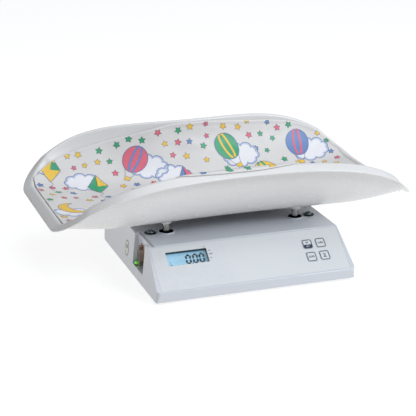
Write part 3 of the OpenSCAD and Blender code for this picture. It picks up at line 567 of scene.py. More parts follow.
# ---------------------------------------------------------------- the tray's inside, as a sheet sees it
class Lining:
    """The tray's inner surface by x along the tray and v, the distance across it over the surface."""

    def __init__(self):
        rows, _ = tray_rows(RIM)
        # up to a little way down the outside of the rim
        keep = 7 + 26 + 19
        v, f = skin(rows[:keep])
        m, n = len(RIM), keep * len(RIM)
        v = np.concatenate([v, [[0, TRAY_Y, FLOOR_H]]])
        f += [(n, j, (j + 1) % m) for j in range(m)]
        tree = BVHTree.FromPolygons([tuple(p) for p in v], f)
        self.xs = np.linspace(-249, 249, 167)
        self.vs = np.arange(-200, 200.5, 1.0)
        self.y, self.z = np.zeros((2, len(self.xs), len(self.vs)))
        for i, x in enumerate(self.xs):
            for side in (-1, 1):
                ys = np.concatenate([np.arange(0, 60, 2.0), np.arange(60, 172, 0.2)])
                zs, ok = [], []
                for y in ys:
                    hit = tree.ray_cast(Vector((x, TRAY_Y + side * y, 300)), Vector((0, 0, -1)))[0]
                    if hit is None:
                        break
                    zs.append(hit.z)
                ys = ys[: len(zs)]
                arc = np.concatenate([[0], np.cumsum(np.hypot(np.diff(ys), np.diff(zs)))])
                sel = self.vs * side >= 0
                a = np.abs(self.vs[sel])
                # past the outer edge it goes on straight
                self.y[i, sel] = side * (np.interp(a, arc, ys) + np.maximum(0, a - arc[-1]) * 0.7)
                self.z[i, sel] = np.interp(a, arc, zs) - np.maximum(0, a - arc[-1]) * 0.7
        # evens out the small steps of the casting
        for _ in range(2):
            for t in (self.y, self.z):
                t[:, 1:-1] = (t[:, :-2] + 2 * t[:, 1:-1] + t[:, 2:]) / 4

    def at(self, x, v):
        x, v = np.clip(x, self.xs[0], self.xs[-1]), np.clip(v, self.vs[0], self.vs[-1])
        i = np.clip(np.searchsorted(self.xs, x) - 1, 0, len(self.xs) - 2)
        j = np.clip(np.floor(v - self.vs[0]).astype(int), 0, len(self.vs) - 2)
        a, b = (x - self.xs[i]) / (self.xs[1] - self.xs[0]), v - self.vs[j]
        out = [x]
        for t in (self.y, self.z):
            out.append((t[i, j] * (1 - a) + t[i + 1, j] * a) * (1 - b) + (t[i, j + 1] * (1 - a) + t[i + 1, j + 1] * a) * b)
        out[1] = out[1] + TRAY_Y
        return np.stack(out, -1)

    def normal(self, x, v):
        e = 2.0
        du = self.at(x + e, v) - self.at(x - e, v)
        dv = self.at(x, v + e) - self.at(x, v - e)
        n = np.cross(du, dv)
        return n / np.maximum(np.linalg.norm(n, axis=-1, keepdims=True), 1e-9)

    def reach(self, x, side, share):
        """v at which the surface has come up share of the way from the floor to just under the crest; over 1 it goes on past the crest."""
        out = []
        for xx, sh in zip(np.atleast_1d(x), np.atleast_1d(share)):
            vs = np.arange(40, 199, 0.5) * side
            z = self.at(np.full(len(vs), float(xx)), vs)[:, 2]
            top = int(np.argmax(z))
            z0 = float(floor_z(np.array(float(xx))))
            z1 = z[top] - 3.5
            if sh <= 1:
                k = int(np.argmax(z[: top + 1] >= z0 + sh * (z1 - z0))) if (z[: top + 1] >= z0 + sh * (z1 - z0)).any() else top
                out.append(abs(vs[k]))
            else:
                out.append(abs(vs[top]) + (sh - 1) * 20)
        return np.array(out)


LINING = Lining()


# ---------------------------------------------------------------- pad
PAD_X, PAD_XR = 245.6, 248.6
PAD_R_FAR, PAD_R_NEAR = 6.0, 10.0


def bell(x, at, width):
    return np.exp(-((x - at) / width) ** 2)


def far_share(x):
    """How far up the far wall the sheet reaches: unevenly, as it was laid in by hand."""
    return np.interp(x, [-246, -225, -190, -150, -100, -60, -25, 30, 70, 105, 140, 175, 205, 228, 246],
                     [0.84, 0.77, 0.745, 0.755, 0.82, 0.90, 0.995, 0.99, 0.95, 0.92, 0.93, 0.96, 0.99, 0.97, 0.90])


def near_share(x):
    return np.interp(x, [-246, -150, -110, -85, -40, 20, 50, 80, 120, 246], [0.86, 0.86, 0.95, 1.14, 1.34, 1.34, 1.16, 0.97, 0.88, 0.86])


def pad_limits(x):
    """v of the near edge and of the far edge at x."""
    knots = np.linspace(-PAD_X, PAD_XR, 122)
    if not hasattr(pad_limits, "near"):
        pad_limits.near = LINING.reach(knots, -1, near_share(knots))
        pad_limits.far = LINING.reach(knots, 1, far_share(knots))
        k = np.array([1, 2, 3, 4, 5, 4, 3, 2, 1.0])
        for name in ("near", "far"):
            a = getattr(pad_limits, name)
            setattr(pad_limits, name, np.convolve(np.pad(a, 4, mode="edge"), k / k.sum(), "valid"))
    return -np.interp(x, knots, pad_limits.near), np.interp(x, knots, pad_limits.far)


def corner_cut(x, r=PAD_R_FAR):
    """How much a rounded corner of radius r takes off that side at x."""
    d = np.maximum(0, np.where(x > 0, x - (PAD_XR - r), -x - (PAD_X - r)))
    return r - np.sqrt(np.maximum(0, r ** 2 - d ** 2))


CREASES = [(-205, 60, 0.9, 70, 9, 0.7), (-120, 118, 0.25, 90, 10, 0.6), (60, 120, -0.35, 80, 9, 0.8), (128, 92, -0.55, 75, 8, 0.8),
           (170, 60, -0.8, 70, 9, 0.7), (-30, -60, 0.2, 120, 12, 0.5), (205, -20, 1.2, 60, 9, 0.6), (-190, -60, 1.9, 55, 9, 0.6)]


def pad_wave(x, v):
    """Slight unevenness of a thin sheet that lies loose in the tray, mm above the wall."""
    w = 0.35 + 0.35 * np.sin(x / 31 + 0.7 * np.sin(v / 40)) * np.sin(v / 37 + 1.2)
    w += 0.30 * np.sin(x / 17 + v / 60 + 2.1) ** 2
    for cx, cv, a, ln, wd, h in CREASES:
        p, q = (x - cx) * math.cos(a) + (v - cv) * math.sin(a), (v - cv) * math.cos(a) - (x - cx) * math.sin(a)
        w += 1.7 * h * np.exp(-(p / ln) ** 2 - (q / wd) ** 2)
    edge = np.clip((np.abs(v) - 95) / 40, 0, 1)
    w += edge * (0.8 + 0.8 * np.sin(x / 23 + 1.0) * np.sin(x / 61))
    # it lies close where it laps over the near rim
    lap = np.clip((-v - 148) / 22, 0, 1)
    return np.maximum(w, 0.0) * (1 - 0.94 * lap * lap * (3 - 2 * lap))


def on_pad(x, v, over=0.0):
    """Point on the pad's upper face, over mm above it."""
    x, v = np.asarray(x, float), np.asarray(v, float)
    return LINING.at(x, v) + LINING.normal(x, v) * (PAD_LIFT - 0.2 + PAD_T + pad_wave(x, v) + over)[..., None]


def make_pad():
    nx, nv = 190, 120
    t = np.linspace(-1, 1, nx + 1)
    xs = np.where(t < 0, PAD_X, PAD_XR) * (np.sin(t * math.pi / 2) * 0.45 + t * 0.55)
    lo, hi = pad_limits(xs)
    lo, hi = lo + corner_cut(xs, PAD_R_NEAR), hi - corner_cut(xs)
    w = np.linspace(0, 1, nv + 1)
    X = np.repeat(xs[:, None], nv + 1, 1)
    V = lo[:, None] + (hi - lo)[:, None] * w[None, :]
    P, N = LINING.at(X, V), LINING.normal(X, V)
    wave = pad_wave(X, V)
    # a heat-sealed line 5 mm inside the edge presses the sheet together
    border = np.minimum(np.minimum(V - lo[:, None], hi[:, None] - V), np.minimum(X + PAD_X, PAD_XR - X))
    seal = 0.35 * np.exp(-((border - 6) / 1.3) ** 2)
    top = P + N * (PAD_LIFT - 0.2 + PAD_T + wave - seal)[..., None]
    low = P + N * (PAD_LIFT - 0.2 + wave * 0.8)[..., None]
    m = nv + 1
    v = list(top.reshape(-1, 3)) + list(low.reshape(-1, 3))
    k = len(top.reshape(-1, 3))
    f = []
    for i in range(nx):
        for j in range(nv):
            a, b, c, d = i * m + j, (i + 1) * m + j, (i + 1) * m + j + 1, i * m + j + 1
            f.append((a, b, c, d))
            f.append((k + d, k + c, k + b, k + a))
    ring = [(i, 0) for i in range(nx)] + [(nx, j) for j in range(nv)] + [(i, nv) for i in range(nx, 0, -1)] + [(0, j) for j in range(nv, 0, -1)]
    at = [i * m + j for i, j in ring]
    # a rounded edge: one more ring, half way down and a little further out
    out = []
    for n, (i, j) in enumerate(ring):
        a, b = np.array(v[at[n - 1]]), np.array(v[at[(n + 1) % len(at)]])
        side = np.cross(b - a, N[i, j])
        side /= np.linalg.norm(side)
        out.append((np.array(v[at[n]]) + np.array(v[k + at[n]])) / 2 + side * 0.55)
    first = len(v)
    v += out
    for n in range(len(at)):
        o = (n + 1) % len(at)
        f.append((at[n], first + n, first + o, at[o]))
        f.append((first + n, k + at[n], k + at[o], first + o))
    pad = piece("pad_sheet", v, f, "pad", "pad_vinyl", ["pad"])
    # the cut's flat size, from the lengths over the lining
    mid = (xs[1:] + xs[:-1]) / 2
    length = float(np.linalg.norm(np.diff(LINING.at(xs, np.zeros(len(xs))), axis=0), axis=1).sum())
    wide = float((hi - lo).max())
    area = float(((hi - lo)[1:] + (hi - lo)[:-1]).dot(np.diff(xs)) / 2)
    return pad, (wide * MM, length * MM), area * MM * MM * length / (PAD_X + PAD_XR)


PAD, PAD_FLAT, PAD_AREA = make_pad()
print("pad flat size", [round(c, 4) for c in PAD_FLAT], "area", round(PAD_AREA, 5))


# ---------------------------------------------------------------- print on the pad
class Print:
    """Flat shapes in the sheet's own plane, laid on its upper face."""

    def __init__(self):
        self.v, self.f, self.k, self.mats = [], [], [], []

    def mat(self, name):
        if name not in self.mats:
            self.mats.append(name)
        return self.mats.index(name)

    def add(self, pts, faces, mat, over):
        pts = np.asarray(pts, float)
        inside = self.inside(pts[:, 0], pts[:, 1])
        # a motif that runs off the sheet is cut at its edge
        x = np.clip(pts[:, 0], 0.8 - PAD_X, PAD_XR - 0.8)
        lo, hi = pad_limits(x)
        v = np.clip(pts[:, 1], lo + corner_cut(x, PAD_R_NEAR) + 0.8, hi - corner_cut(x) - 0.8)
        at = on_pad(x, v, np.full(len(pts), over))
        base, k = len(self.v), self.mat(mat)
        self.v += list(at)
        for f in faces:
            if any(inside[i] for i in f):
                self.f.append(tuple(base + i for i in f))
                self.k.append(k)

    @staticmethod
    def inside(x, v):
        lo, hi = pad_limits(x)
        return (x > 0.8 - PAD_X) & (x < PAD_XR - 0.8) & (v > lo + corner_cut(x, PAD_R_NEAR) + 0.8) & (v < hi - corner_cut(x) - 0.8)

    def blob(self, centre, outline, mat, over, rings=4):
        """A filled shape that is seen whole from its centre."""
        c, o = np.array(centre, float), np.asarray(outline, float)
        m = len(o)
        pts, faces = [c], []
        for r in range(1, rings + 1):
            pts += list(c + (o - c) * r / rings)
        for j in range(m):
            k = (j + 1) % m
            faces.append((0, 1 + j, 1 + k))
            for r in range(rings - 1):
                a = 1 + r * m
                faces.append((a + j, a + m + j, a + m + k, a + k))
        self.add(pts, faces, mat, over)

    def line(self, pts, mat, width, over, closed=True):
        p = np.asarray(pts, float)
        n = len(p)
        a = np.roll(p, 1, 0) if closed else np.concatenate([2 * p[:1] - p[1:2], p[:-1]])
        b = np.roll(p, -1, 0) if closed else np.concatenate([p[1:], 2 * p[-1:] - p[-2:-1]])
        t = b - a
        t /= np.linalg.norm(t, axis=1, keepdims=True) + 1e-9
        s = np.stack([-t[:, 1], t[:, 0]], 1) * width / 2
        both = np.concatenate([p - s, p + s])
        last = n if closed else n - 1
        self.add(both, [(j, (j + 1) % n, n + (j + 1) % n, n + j) for j in range(last)], mat, over)

    def make(self, name, body, slot):
        used = sorted({i for f in self.f for i in f})
        at = {i: n for n, i in enumerate(used)}
        faces = [tuple(at[i] for i in f) for f in self.f]
        # all faces look up, out of the sheet
        v = np.array([self.v[i] for i in used])
        return piece(name, v, faces, body, self.mats, which=self.k)


def ring_of(n, fn):
    return [fn(2 * math.pi * i / n) for i in range(n)]


def star_shape(c, r, turn, points=5, inner=0.52):
    out = []
    for i in range(points * 2):
        a = turn + math.pi * i / points
        q = r if i % 2 == 0 else r * inner
        out.append((c[0] + q * math.cos(a), c[1] + q * math.sin(a)))
    return out


def turned(pts, c, a):
    s, k = math.sin(a), math.cos(a)
    return [(c[0] + x * k - y * s, c[1] + x * s + y * k) for x, y in pts]


def make_print():
    rng = random.Random(11)
    pr = Print()
    inks = ["print_green", "print_blue", "print_yellow", "print_pink"]
    big = []

    def balloon(c, a, colour, second, s):
        body = ring_of(36, lambda t: (s * 0.50 * math.cos(t), s * (0.10 + (0.56 if math.sin(t) > 0 else 0.62) * math.sin(t))))
        at = (0, s * 0.1)
        pr.blob(turned([at], c, a)[0], turned(body, c, a), colour, 0.22, 6)
        for u in (-0.30, 0.30):
            gore = [(s * u * 0.5 * math.cos(t) * 2 * 0.38 + s * u * 0.12, s * (0.10 + 0.56 * math.sin(t))) for t in np.linspace(-math.pi / 2, math.pi / 2, 14)]
            pr.line(turned(gore, c, a), second, s * 0.09, 0.30, False)
        pr.line(turned(body, c, a), "print_line", 0.9, 0.36)
        basket = [(-s * 0.13, -s * 0.78), (s * 0.13, -s * 0.78), (s * 0.10, -s * 0.98), (-s * 0.10, -s * 0.98)]
        pr.blob(turned([(0, -s * 0.88)], c, a)[0], turned(basket, c, a), "print_yellow" if colour != "print_yellow" else "print_pink", 0.24, 2)
        pr.line(turned(basket, c, a), "print_line", 0.8, 0.34)
        for q in (-1, 1):
            pr.line(turned([(q * s * 0.26, -s * 0.42), (q * s * 0.18, -s * 0.60), (q * s * 0.12, -s * 0.78)], c, a), "print_line", 0.6, 0.28, False)

    def cloud(c, a, w, h):
        big.append((c, w * 0.49))
        """Puffs along an oval, filled paler than the sheet, with a blue-grey line."""
        n = 9
        out = []
        for i in range(n):
            t0, t1 = 2 * math.pi * i / n, 2 * math.pi * (i + 1) / n
            p0, p1 = np.array([w / 2 * math.cos(t0), h / 2 * math.sin(t0)]), np.array([w / 2 * math.cos(t1), h / 2 * math.sin(t1)])
            mid, half = (p0 + p1) / 2, (p1 - p0) / 2
            nrm = np.array([half[1], -half[0]])
            for k in range(7):
                q = math.pi * k / 7
                out.append(tuple(mid - half * math.cos(q) + nrm * math.sin(q) * 0.72))
        pr.blob(turned([(0, 0)], c, a)[0], turned(out, c, a), "print_white", 0.07, 7)
        # a soft band of pale blue inside the line, as airbrushed
        pr.line(turned([(x * 0.93, y * 0.93) for x, y in out], c, a), "print_haze", 3.0, 0.13)
        pr.line(turned(out, c, a), "print_line", 1.1, 0.18)

    def moon(c, a, s, colour):
        outer = [(s * 0.5 * math.cos(t), s * 0.5 * math.sin(t)) for t in np.linspace(math.radians(60), math.radians(300), 26)]
        x0 = outer[0][0] + s * 0.02
        inner = [(x0 + s * 0.42 * math.cos(t) * 0.9 - s * 0.02, s * 0.433 * math.sin(t)) for t in np.linspace(math.radians(90), math.radians(270), 26)]
        n = len(outer)
        rows = [[tuple(np.array(o) * (1 - k / 3) + np.array(i) * k / 3) for o, i in zip(outer, inner)] for k in range(4)]
        pts = turned([p for r in rows for p in r], c, a)
        pr.add(pts, [(r * n + j, r * n + j + 1, (r + 1) * n + j + 1, (r + 1) * n + j) for r in range(3) for j in range(n - 1)], colour, 0.24)
        pr.line(turned(outer + inner[::-1], c, a), "print_line", 0.8, 0.34)

    def kite(c, a, s, one, two):
        k = [(0, s * 0.55), (s * 0.36, 0), (0, -s * 0.55), (-s * 0.36, 0)]
        dense = []
        for i in range(4):
            p, q = np.array(k[i]), np.array(k[(i + 1) % 4])
            dense += [tuple(p + (q - p) * j / 6) for j in range(6)]
        pr.blob(turned([(0, 0)], c, a)[0], turned(dense, c, a), one, 0.24, 6)
        half = [(0, s * 0.53), (s * 0.17, s * 0.27), (s * 0.34, 0), (0, 0)]
        pr.blob(turned([(s * 0.12, s * 0.15)], c, a)[0], turned(half, c, a), two, 0.31, 4)
        pr.line(turned(dense, c, a), "print_line", 0.9, 0.38)
        tail = [(s * 0.07 * math.sin(t * 2.2), -s * 0.55 - s * 0.16 * t) for t in np.linspace(0, 4, 18)]
        pr.line(turned(tail, c, a), "print_line", 0.7, 0.22, False)

    # large motifs, in a loose brick layout
    cols = [-212, -146, -80, -14, 52, 118, 184]
    kinds = ["balloon", "moon", "kite", "balloon", "kite", "balloon", "moon"]
    n = 0
    for ci, cx in enumerate(cols):
        for ri, v0 in enumerate((-132, -66, 0, 66, 132)):
            if (ci + ri) % 2:
                continue
            c = (cx + rng.uniform(-9, 9), v0 + (16 if ci % 2 else -8) + rng.uniform(-6, 6))
            a = rng.uniform(-0.6, 0.6)
            kind = kinds[n % len(kinds)]
            colour, second = inks[n % 4], inks[(n + 2) % 4]
            n += 1
            if kind == "balloon":
                cloud((c[0] + 20, c[1] - 13), a * 0.4, 56, 32)
                balloon(c, a, colour, second, 38)
            elif kind == "moon":
                cloud((c[0] - 5, c[1] - 19), 0.1, 54, 25)
                moon(c, a + 0.3, 43, "print_yellow")
            else:
                cloud((c[0] - 20, c[1] + 10), -0.1, 52, 29)
                kite(c, a - 0.3, 43, colour, second)
            big.append((c, 34))

    # small stars between them
    placed = []
    tries = 0
    while len(placed) < 330 and tries < 16000:
        tries += 1
        c = (rng.uniform(-242, 242), rng.uniform(-187, 180))
        if any((c[0] - b[0][0]) ** 2 + (c[1] - b[0][1]) ** 2 < (b[1] + 1) ** 2 for b in big):
            continue
        if any((c[0] - p[0]) ** 2 + (c[1] - p[1]) ** 2 < 17.0 ** 2 for p in placed):
            continue
        r = rng.choice([4.8, 5.4, 6.0])
        shape = star_shape(c, r, rng.uniform(0, 6.28))
        colour = inks[len(placed) % 4] if rng.random() < 0.8 else rng.choice(inks)
        if not Print.inside(np.array([c[0]]), np.array([c[1]]))[0]:
            continue
        pr.blob(c, shape, colour, 0.12, 3)
        pr.line(shape, "print_dark", 0.6, 0.2)
        placed.append(c)
    # a row of small needle marks inside the edge
    def dash(x, v, a):
        pr.add(turned([(-0.9, -0.28), (0.9, -0.28), (0.9, 0.28), (-0.9, 0.28)], (x, v), a), [(0, 1, 2, 3)], "print_white", 0.09)

    for x in np.arange(-238, 238.1, 3.6):
        lo, hi = (float(c[0]) for c in pad_limits(np.array([x])))
        slope = [math.atan2(float(np.diff(pad_limits(np.array([x - 1.0, x + 1.0]))[k])[0]), 2.0) for k in (0, 1)]
        dash(x, lo + 6, slope[0])
        dash(x, hi - 6, slope[1])
    for q in (-1, 1):
        lo, hi = (float(c[0]) for c in pad_limits(np.array([q * 239.0])))
        for v in np.arange(lo + 8, hi - 8, 3.6):
            dash(q * 239.6, v, math.pi / 2)
    return pr.make("pad_print", "pad", "pad_vinyl")


PRINT = make_print()


# ---------------------------------------------------------------- panel print
def on_panel(u, v, w=0.0):
    s, c = math.sin(SLOPE_A), math.cos(SLOPE_A)
    return (u, YL + v * c - w * s, Z1 + v * s + w * c)


class Flat:
    """Printed marks on a plane."""

    def __init__(self, place):
        self.place, self.v, self.f, self.k, self.mats = place, [], [], [], []

    def add(self, pts, faces, mat, w):
        if mat not in self.mats:
            self.mats.append(mat)
        b = len(self.v)
        self.v += [self.place(p[0], p[1], w) for p in pts]
        self.f += [tuple(b + i for i in f) for f in faces]
        self.k += [self.mats.index(mat)] * len(faces)

    def line(self, pts, width, mat, w, closed=False):
        p = np.asarray(pts, float)
        n = len(p)
        if closed:
            a, b = np.roll(p, 1, 0), np.roll(p, -1, 0)
        else:
            a, b = np.concatenate([2 * p[:1] - p[1:2], p[:-1]]), np.concatenate([p[1:], 2 * p[-1:] - p[-2:-1]])
        t1 = (p - a) / (np.linalg.norm(p - a, axis=1, keepdims=True) + 1e-9)
        t2 = (b - p) / (np.linalg.norm(b - p, axis=1, keepdims=True) + 1e-9)
        t = t1 + t2
        ln = np.linalg.norm(t, axis=1, keepdims=True)
        t = np.where(ln > 0.2, t / np.maximum(ln, 1e-9), t1)
        s = np.stack([-t[:, 1], t[:, 0]], 1)
        stretch = 1 / np.maximum(0.5, np.abs((t * t1).sum(1)))
        s = s * (width / 2) * stretch[:, None]
        both = np.concatenate([p - s, p + s])
        last = n if closed else n - 1
        self.add(both, [(j, (j + 1) % n, n + (j + 1) % n, n + j) for j in range(last)], mat, w)

    def fill(self, pts, mat, w):
        c = np.mean(np.asarray(pts, float), 0)
        n = len(pts)
        self.add([tuple(c)] + [tuple(p) for p in pts], [(0, 1 + j, 1 + (j + 1) % n) for j in range(n)], mat, w)

    def make(self, name, body, slot):
        return piece(name, self.v, self.f, body, self.mats, which=self.k, smooth=False)


def rrect(cx, cy, w, h, r, n=5):
    out = []
    for qx, qy, a0 in ((1, 1, 0), (-1, 1, 90), (-1, -1, 180), (1, -1, 270)):
        for i in range(n + 1):
            a = math.radians(a0 + 90 * i / n)
            out.append((cx + qx * (w / 2 - r) + r * math.cos(a), cy + qy * (h / 2 - r) + r * math.sin(a)))
    return out


def arc(cx, cy, rx, ry, a0, a1, n=6):
    return [(cx + rx * math.cos(math.radians(a0 + (a1 - a0) * i / n)), cy + ry * math.sin(math.radians(a0 + (a1 - a0) * i / n))) for i in range(n + 1)]


# strokes of a few plain capitals and digits on a cell 1 high and 0.6 wide
GLYPHS = {
    "O": [arc(0.3, 0.5, 0.27, 0.5, 90, 450, 14)],
    "0": [arc(0.3, 0.5, 0.25, 0.5, 90, 450, 14)],
    "N": [[(0.05, 0), (0.05, 1), (0.55, 0), (0.55, 1)]],
    "F": [[(0.08, 0), (0.08, 1), (0.55, 1)], [(0.08, 0.52), (0.46, 0.52)]],
    "T": [[(0.0, 1), (0.6, 1)], [(0.3, 0), (0.3, 0.95)]],
    "A": [[(0.02, 0), (0.3, 1), (0.58, 0)], [(0.13, 0.34), (0.47, 0.34)]],
    "R": [[(0.08, 0), (0.08, 1), (0.34, 1)] + arc(0.34, 0.76, 0.2, 0.24, 90, -90, 6) + [(0.08, 0.52)], [(0.32, 0.50), (0.56, 0)]],
    "E": [[(0.55, 1), (0.08, 1), (0.08, 0), (0.55, 0)], [(0.10, 0.52), (0.48, 0.52)]],
    "Z": [[(0.04, 1), (0.56, 1), (0.04, 0), (0.57, 0)]],
    "H": [[(0.07, 0), (0.07, 1)], [(0.53, 0), (0.53, 1)], [(0.09, 0.52), (0.51, 0.52)]],
    "L": [[(0.10, 1), (0.10, 0), (0.54, 0)]],
    "D": [[(0.08, 0), (0.08, 1), (0.26, 1)] + arc(0.26, 0.5, 0.30, 0.5, 90, -90, 8)[1:] + [(0.08, 0)]],
    "K": [[(0.09, 0), (0.09, 1)], [(0.55, 1), (0.12, 0.45)], [(0.24, 0.58), (0.57, 0)]],
    "G": [arc(0.32, 0.5, 0.27, 0.5, 55, 330, 11) + [(0.56, 0.48), (0.34, 0.48)]],
    "/": [[(0.06, -0.05), (0.52, 1.05)]],
}


def word(flat, text, cx, cy, size, stroke, mat, w, gap=0.22):
    total = len(text) * 0.6 + (len(text) - 1) * gap
    x = cx - total * size / 2
    for ch in text:
        for poly in GLYPHS[ch]:
            flat.line([(x + px * size, cy + (py - 0.5) * size) for px, py in poly], stroke, mat, w)
        x += (0.6 + gap) * size


def panel_print():
    fl = Flat(on_panel)
    w = 0.03
    # short legends to the right of the display
    right = LCD_C[0] + LCD_W / 2
    word(fl, "ON", right + 3.8, 57.9, 1.6, 0.40, "ink_dark", w)
    word(fl, "ZERO", right + 4.6, 52.5, 1.6, 0.40, "ink_dark", w)
    word(fl, "KG", right + 3.4, 46.3, 1.6, 0.40, "ink_dark", w)
    word(fl, "0", right - 2.4, 64.7, 1.7, 0.40, "ink_dark", w)
    # faint outlined bubbles and rings in the lower left, a plain ornament
    rng = random.Random(5)
    done = []
    for _ in range(900):
        u, v = rng.uniform(-131, -20), rng.uniform(7, 66)
        r = rng.choice([1.3, 1.9, 2.7, 3.8, 5.2])
        if u > -88 and rng.random() < (u + 88) / 60:
            continue
        if abs(u - LCD_C[0]) < LCD_W / 2 + 4 + r and abs(v - LCD_C[1]) < LCD_H / 2 + 4 + r:
            continue
        if any(math.hypot(u - a, v - b) < r + c + 1.4 for a, b, c in done):
            continue
        if len(done) > 52:
            break
        done.append((u, v, r))
        n = 18 if r > 2 else 12
        fl.line([(u + r * math.cos(2 * math.pi * i / n), v + r * math.sin(2 * math.pi * i / n)) for i in range(n)], 0.42, "ink_faint", w, True)
        if r > 2.5:
            fl.line(arc(u, v, r * 0.62, r * 0.62, 110, 185, 6), 0.42, "ink_faint", w)
        if r > 5:
            fl.fill(star_shape((u + 0.6, v - 0.6), 1.5, 0.3), "ink_faint", w)
    return fl.make("panel_print", "base", "panel_film")


panel_print()


def key_print(key, label, band=False):
    u, v = KEYS[key]
    fl = Flat(on_panel)
    w = KEY_TOP + 0.04
    fl.line(rrect(u, v, KEY_W - 2.1, KEY_H - 2.1, 1.9), 1.15, "ink_grey", w, True)
    if band:
        lo = v - (KEY_H - 1.9) / 2
        low = [(u + (KEY_W - 1.9) / 2 * k, lo + 5.8) for k in (1, -1)]
        shape = [low[1]] + [p for p in rrect(u, v, KEY_W - 1.9, KEY_H - 1.9, 1.9) if p[1] < v - 3 and p[0] < u] \
            + [p for p in rrect(u, v, KEY_W - 1.9, KEY_H - 1.9, 1.9) if p[1] < v - 3 and p[0] >= u] + [low[0]]
        fl.fill(shape, "ink_navy", w + 0.03)
        word(fl, "OFF", u, lo + 2.9, 2.1, 0.38, "ink_faint", w + 0.06)
        word(fl, "ON", u, v + 2.7, 2.5, 0.55, "ink_dark", w)
    elif not label:
        # an hourglass: the reading is held
        fl.line([(u - 1.9, v + 2.6), (u + 1.9, v + 2.6), (u - 1.9, v - 2.6), (u + 1.9, v - 2.6), (u - 1.9, v + 2.6)], 0.75, "ink_dark", w)
        fl.fill([(u - 1.2, v - 2.5), (u + 1.2, v - 2.5), (u, v - 0.9)], "ink_dark", w)
    else:
        word(fl, label, u, v, 2.6, 0.62, "ink_dark", w)
    return fl.make("key_%s_print" % key, "key_" + key, "key_pale")


key_print("power", "ON", True)
key_print("tare", "TARE")
key_print("zero", "ZERO")
key_print("hold", "")


# ---------------------------------------------------------------- display digits
def seven_segments(flat, u, v, wide, high, thick, slant, w, lit="abcdef"):
    """One digit, its lower left at u, v. Segments are six-sided bars."""
    def at(x, y):
        return (u + x + slant * y, v + y)

    g, t = 0.22, thick / 2
    bars = {
        "a": ((0, high), (wide, high)), "g": ((0, high / 2), (wide, high / 2)), "d": ((0, 0), (wide, 0)),
        "f": ((0, high / 2), (0, high)), "b": ((wide, high / 2), (wide, high)),
        "e": ((0, 0), (0, high / 2)), "c": ((wide, 0), (wide, high / 2)),
    }
    for k in lit:
        (x0, y0), (x1, y1) = bars[k]
        if y0 == y1:
            pts = [(x0 + g, y0), (x0 + g + t, y0 + t), (x1 - g - t, y0 + t), (x1 - g, y0), (x1 - g - t, y0 - t), (x0 + g + t, y0 - t)]
        else:
            pts = [(x0, y0 + g), (x0 + t, y0 + g + t), (x0 + t, y1 - g - t), (x0, y1 - g), (x0 - t, y1 - g - t), (x0 - t, y0 + g + t)]
        flat.fill([at(*p) for p in pts], "segment", w)


def display():
    fl = Flat(on_panel)
    w = -LCD_D + 0.05
    left, low = LCD_C[0] - LCD_W / 2, LCD_C[1] - LCD_H / 2
    for c in (31.4, 41.4, 50.6):
        seven_segments(fl, left + c - 3.1, low + 4.0, 5.5, 12.9, 3.0, 0.05, w)
    fl.fill(rrect(left + 36.5, low + 3.4, 1.8, 1.8, 0.3, 2), "segment", w)
    # small zero mark at the left: a pointer
    fl.fill([(left + 5.2, low + 5.6), (left + 7.4, low + 4.2), (left + 5.2, low + 2.8)], "segment", w)
    fl.line([(left + 5.2, low + 7.0), (left + 5.2, low + 8.8)], 0.6, "segment", w)
    return fl.make("display_segments", "base", "display_glass")


display()


# ---------------------------------------------------------------- small parts that the CAD has plainly
def turn_profile(name, profile, place, body, mat, slot, n=64, replaces=(), bumps=None):
    """A turned part; profile is (radius, height) from the axis at the bottom to the axis at the top. place is a list of centres."""
    v, f = [], []
    for cx, cy, cz in place:
        base = len(v)
        rows = []
        for r, z in profile:
            row = []
            for j in range(n):
                a = 2 * math.pi * j / n
                q = r * (1 + (bumps(a, z) if bumps else 0))
                row.append((cx + q * math.cos(a), cy + q * math.sin(a), cz + z))
            rows.append(row)
        vv, ff = skin(rows)
        v += [tuple(p) for p in vv]
        f += [tuple(base + i for i in q) for q in ff]
        for row, z, up in ((0, profile[0][1], False), (len(profile) - 1, profile[-1][1], True)):
            if profile[row][0] < 1e-6:
                continue
            c = len(v)
            v.append((cx, cy, cz + z))
            for j in range(n):
                k = (j + 1) % n
                tri = (c, base + row * n + j, base + row * n + k)
                f.append(tri if up else tri[::-1])
    return piece(name, v, f, body, mat, replaces)


def cover_screws():
    """Domed heads with a cross recess."""
    v, f = [], []
    n, rings = 64, 14
    for sx in (-1, 1):
        for y in POST_Y:
            c = (sx * SCREW_X, y + 3, Z2 - 0.32)
            base = len(v)
            rows = []
            for r, z in ((2.5, -14.6), (2.5, -0.02), (5.05, -0.0), (5.2, 0.2), (5.2, 1.2)):
                rows.append([(c[0] + r * math.cos(2 * math.pi * j / n), c[1] + r * math.sin(2 * math.pi * j / n), c[2] + z) for j in range(n)])
            for i in range(1, rings):
                b = math.pi / 2 * i / rings
                r, z = 5.2 * math.cos(b), 1.2 + 3.9 * math.sin(b)
                row = []
                for j in range(n):
                    a = 2 * math.pi * j / n
                    x, yy = r * math.cos(a), r * math.sin(a)
                    # the cross: two slots that run out towards the edge
                    arm = max(math.exp(-(abs(x) / 0.62) ** 4) * (abs(yy) < 3.2), math.exp(-(abs(yy) / 0.62) ** 4) * (abs(x) < 3.2))
                    deep = 1.1 * arm * max(0.0, 1 - (math.hypot(x, yy) / 3.4) ** 3)
                    row.append((c[0] + x, c[1] + yy, c[2] + z - deep))
                rows.append(row)
            vv, ff = skin(rows)
            v += [tuple(p) for p in vv]
            f += [tuple(base + i for i in q) for q in ff]
            top = len(v)
            v.append((c[0], c[1], c[2] + 5.1 - 1.1))
            last = base + (len(rows) - 1) * n
            f += [(top, last + j, last + (j + 1) % n) for j in range(n)]
            low = len(v)
            v.append((c[0], c[1], c[2] - 14.6))
            f += [(low, base + (j + 1) % n, base + j) for j in range(n)]
    return piece("dome_screws", v, f, "base", "dark_screw", ["cover_screws"])


cover_screws()


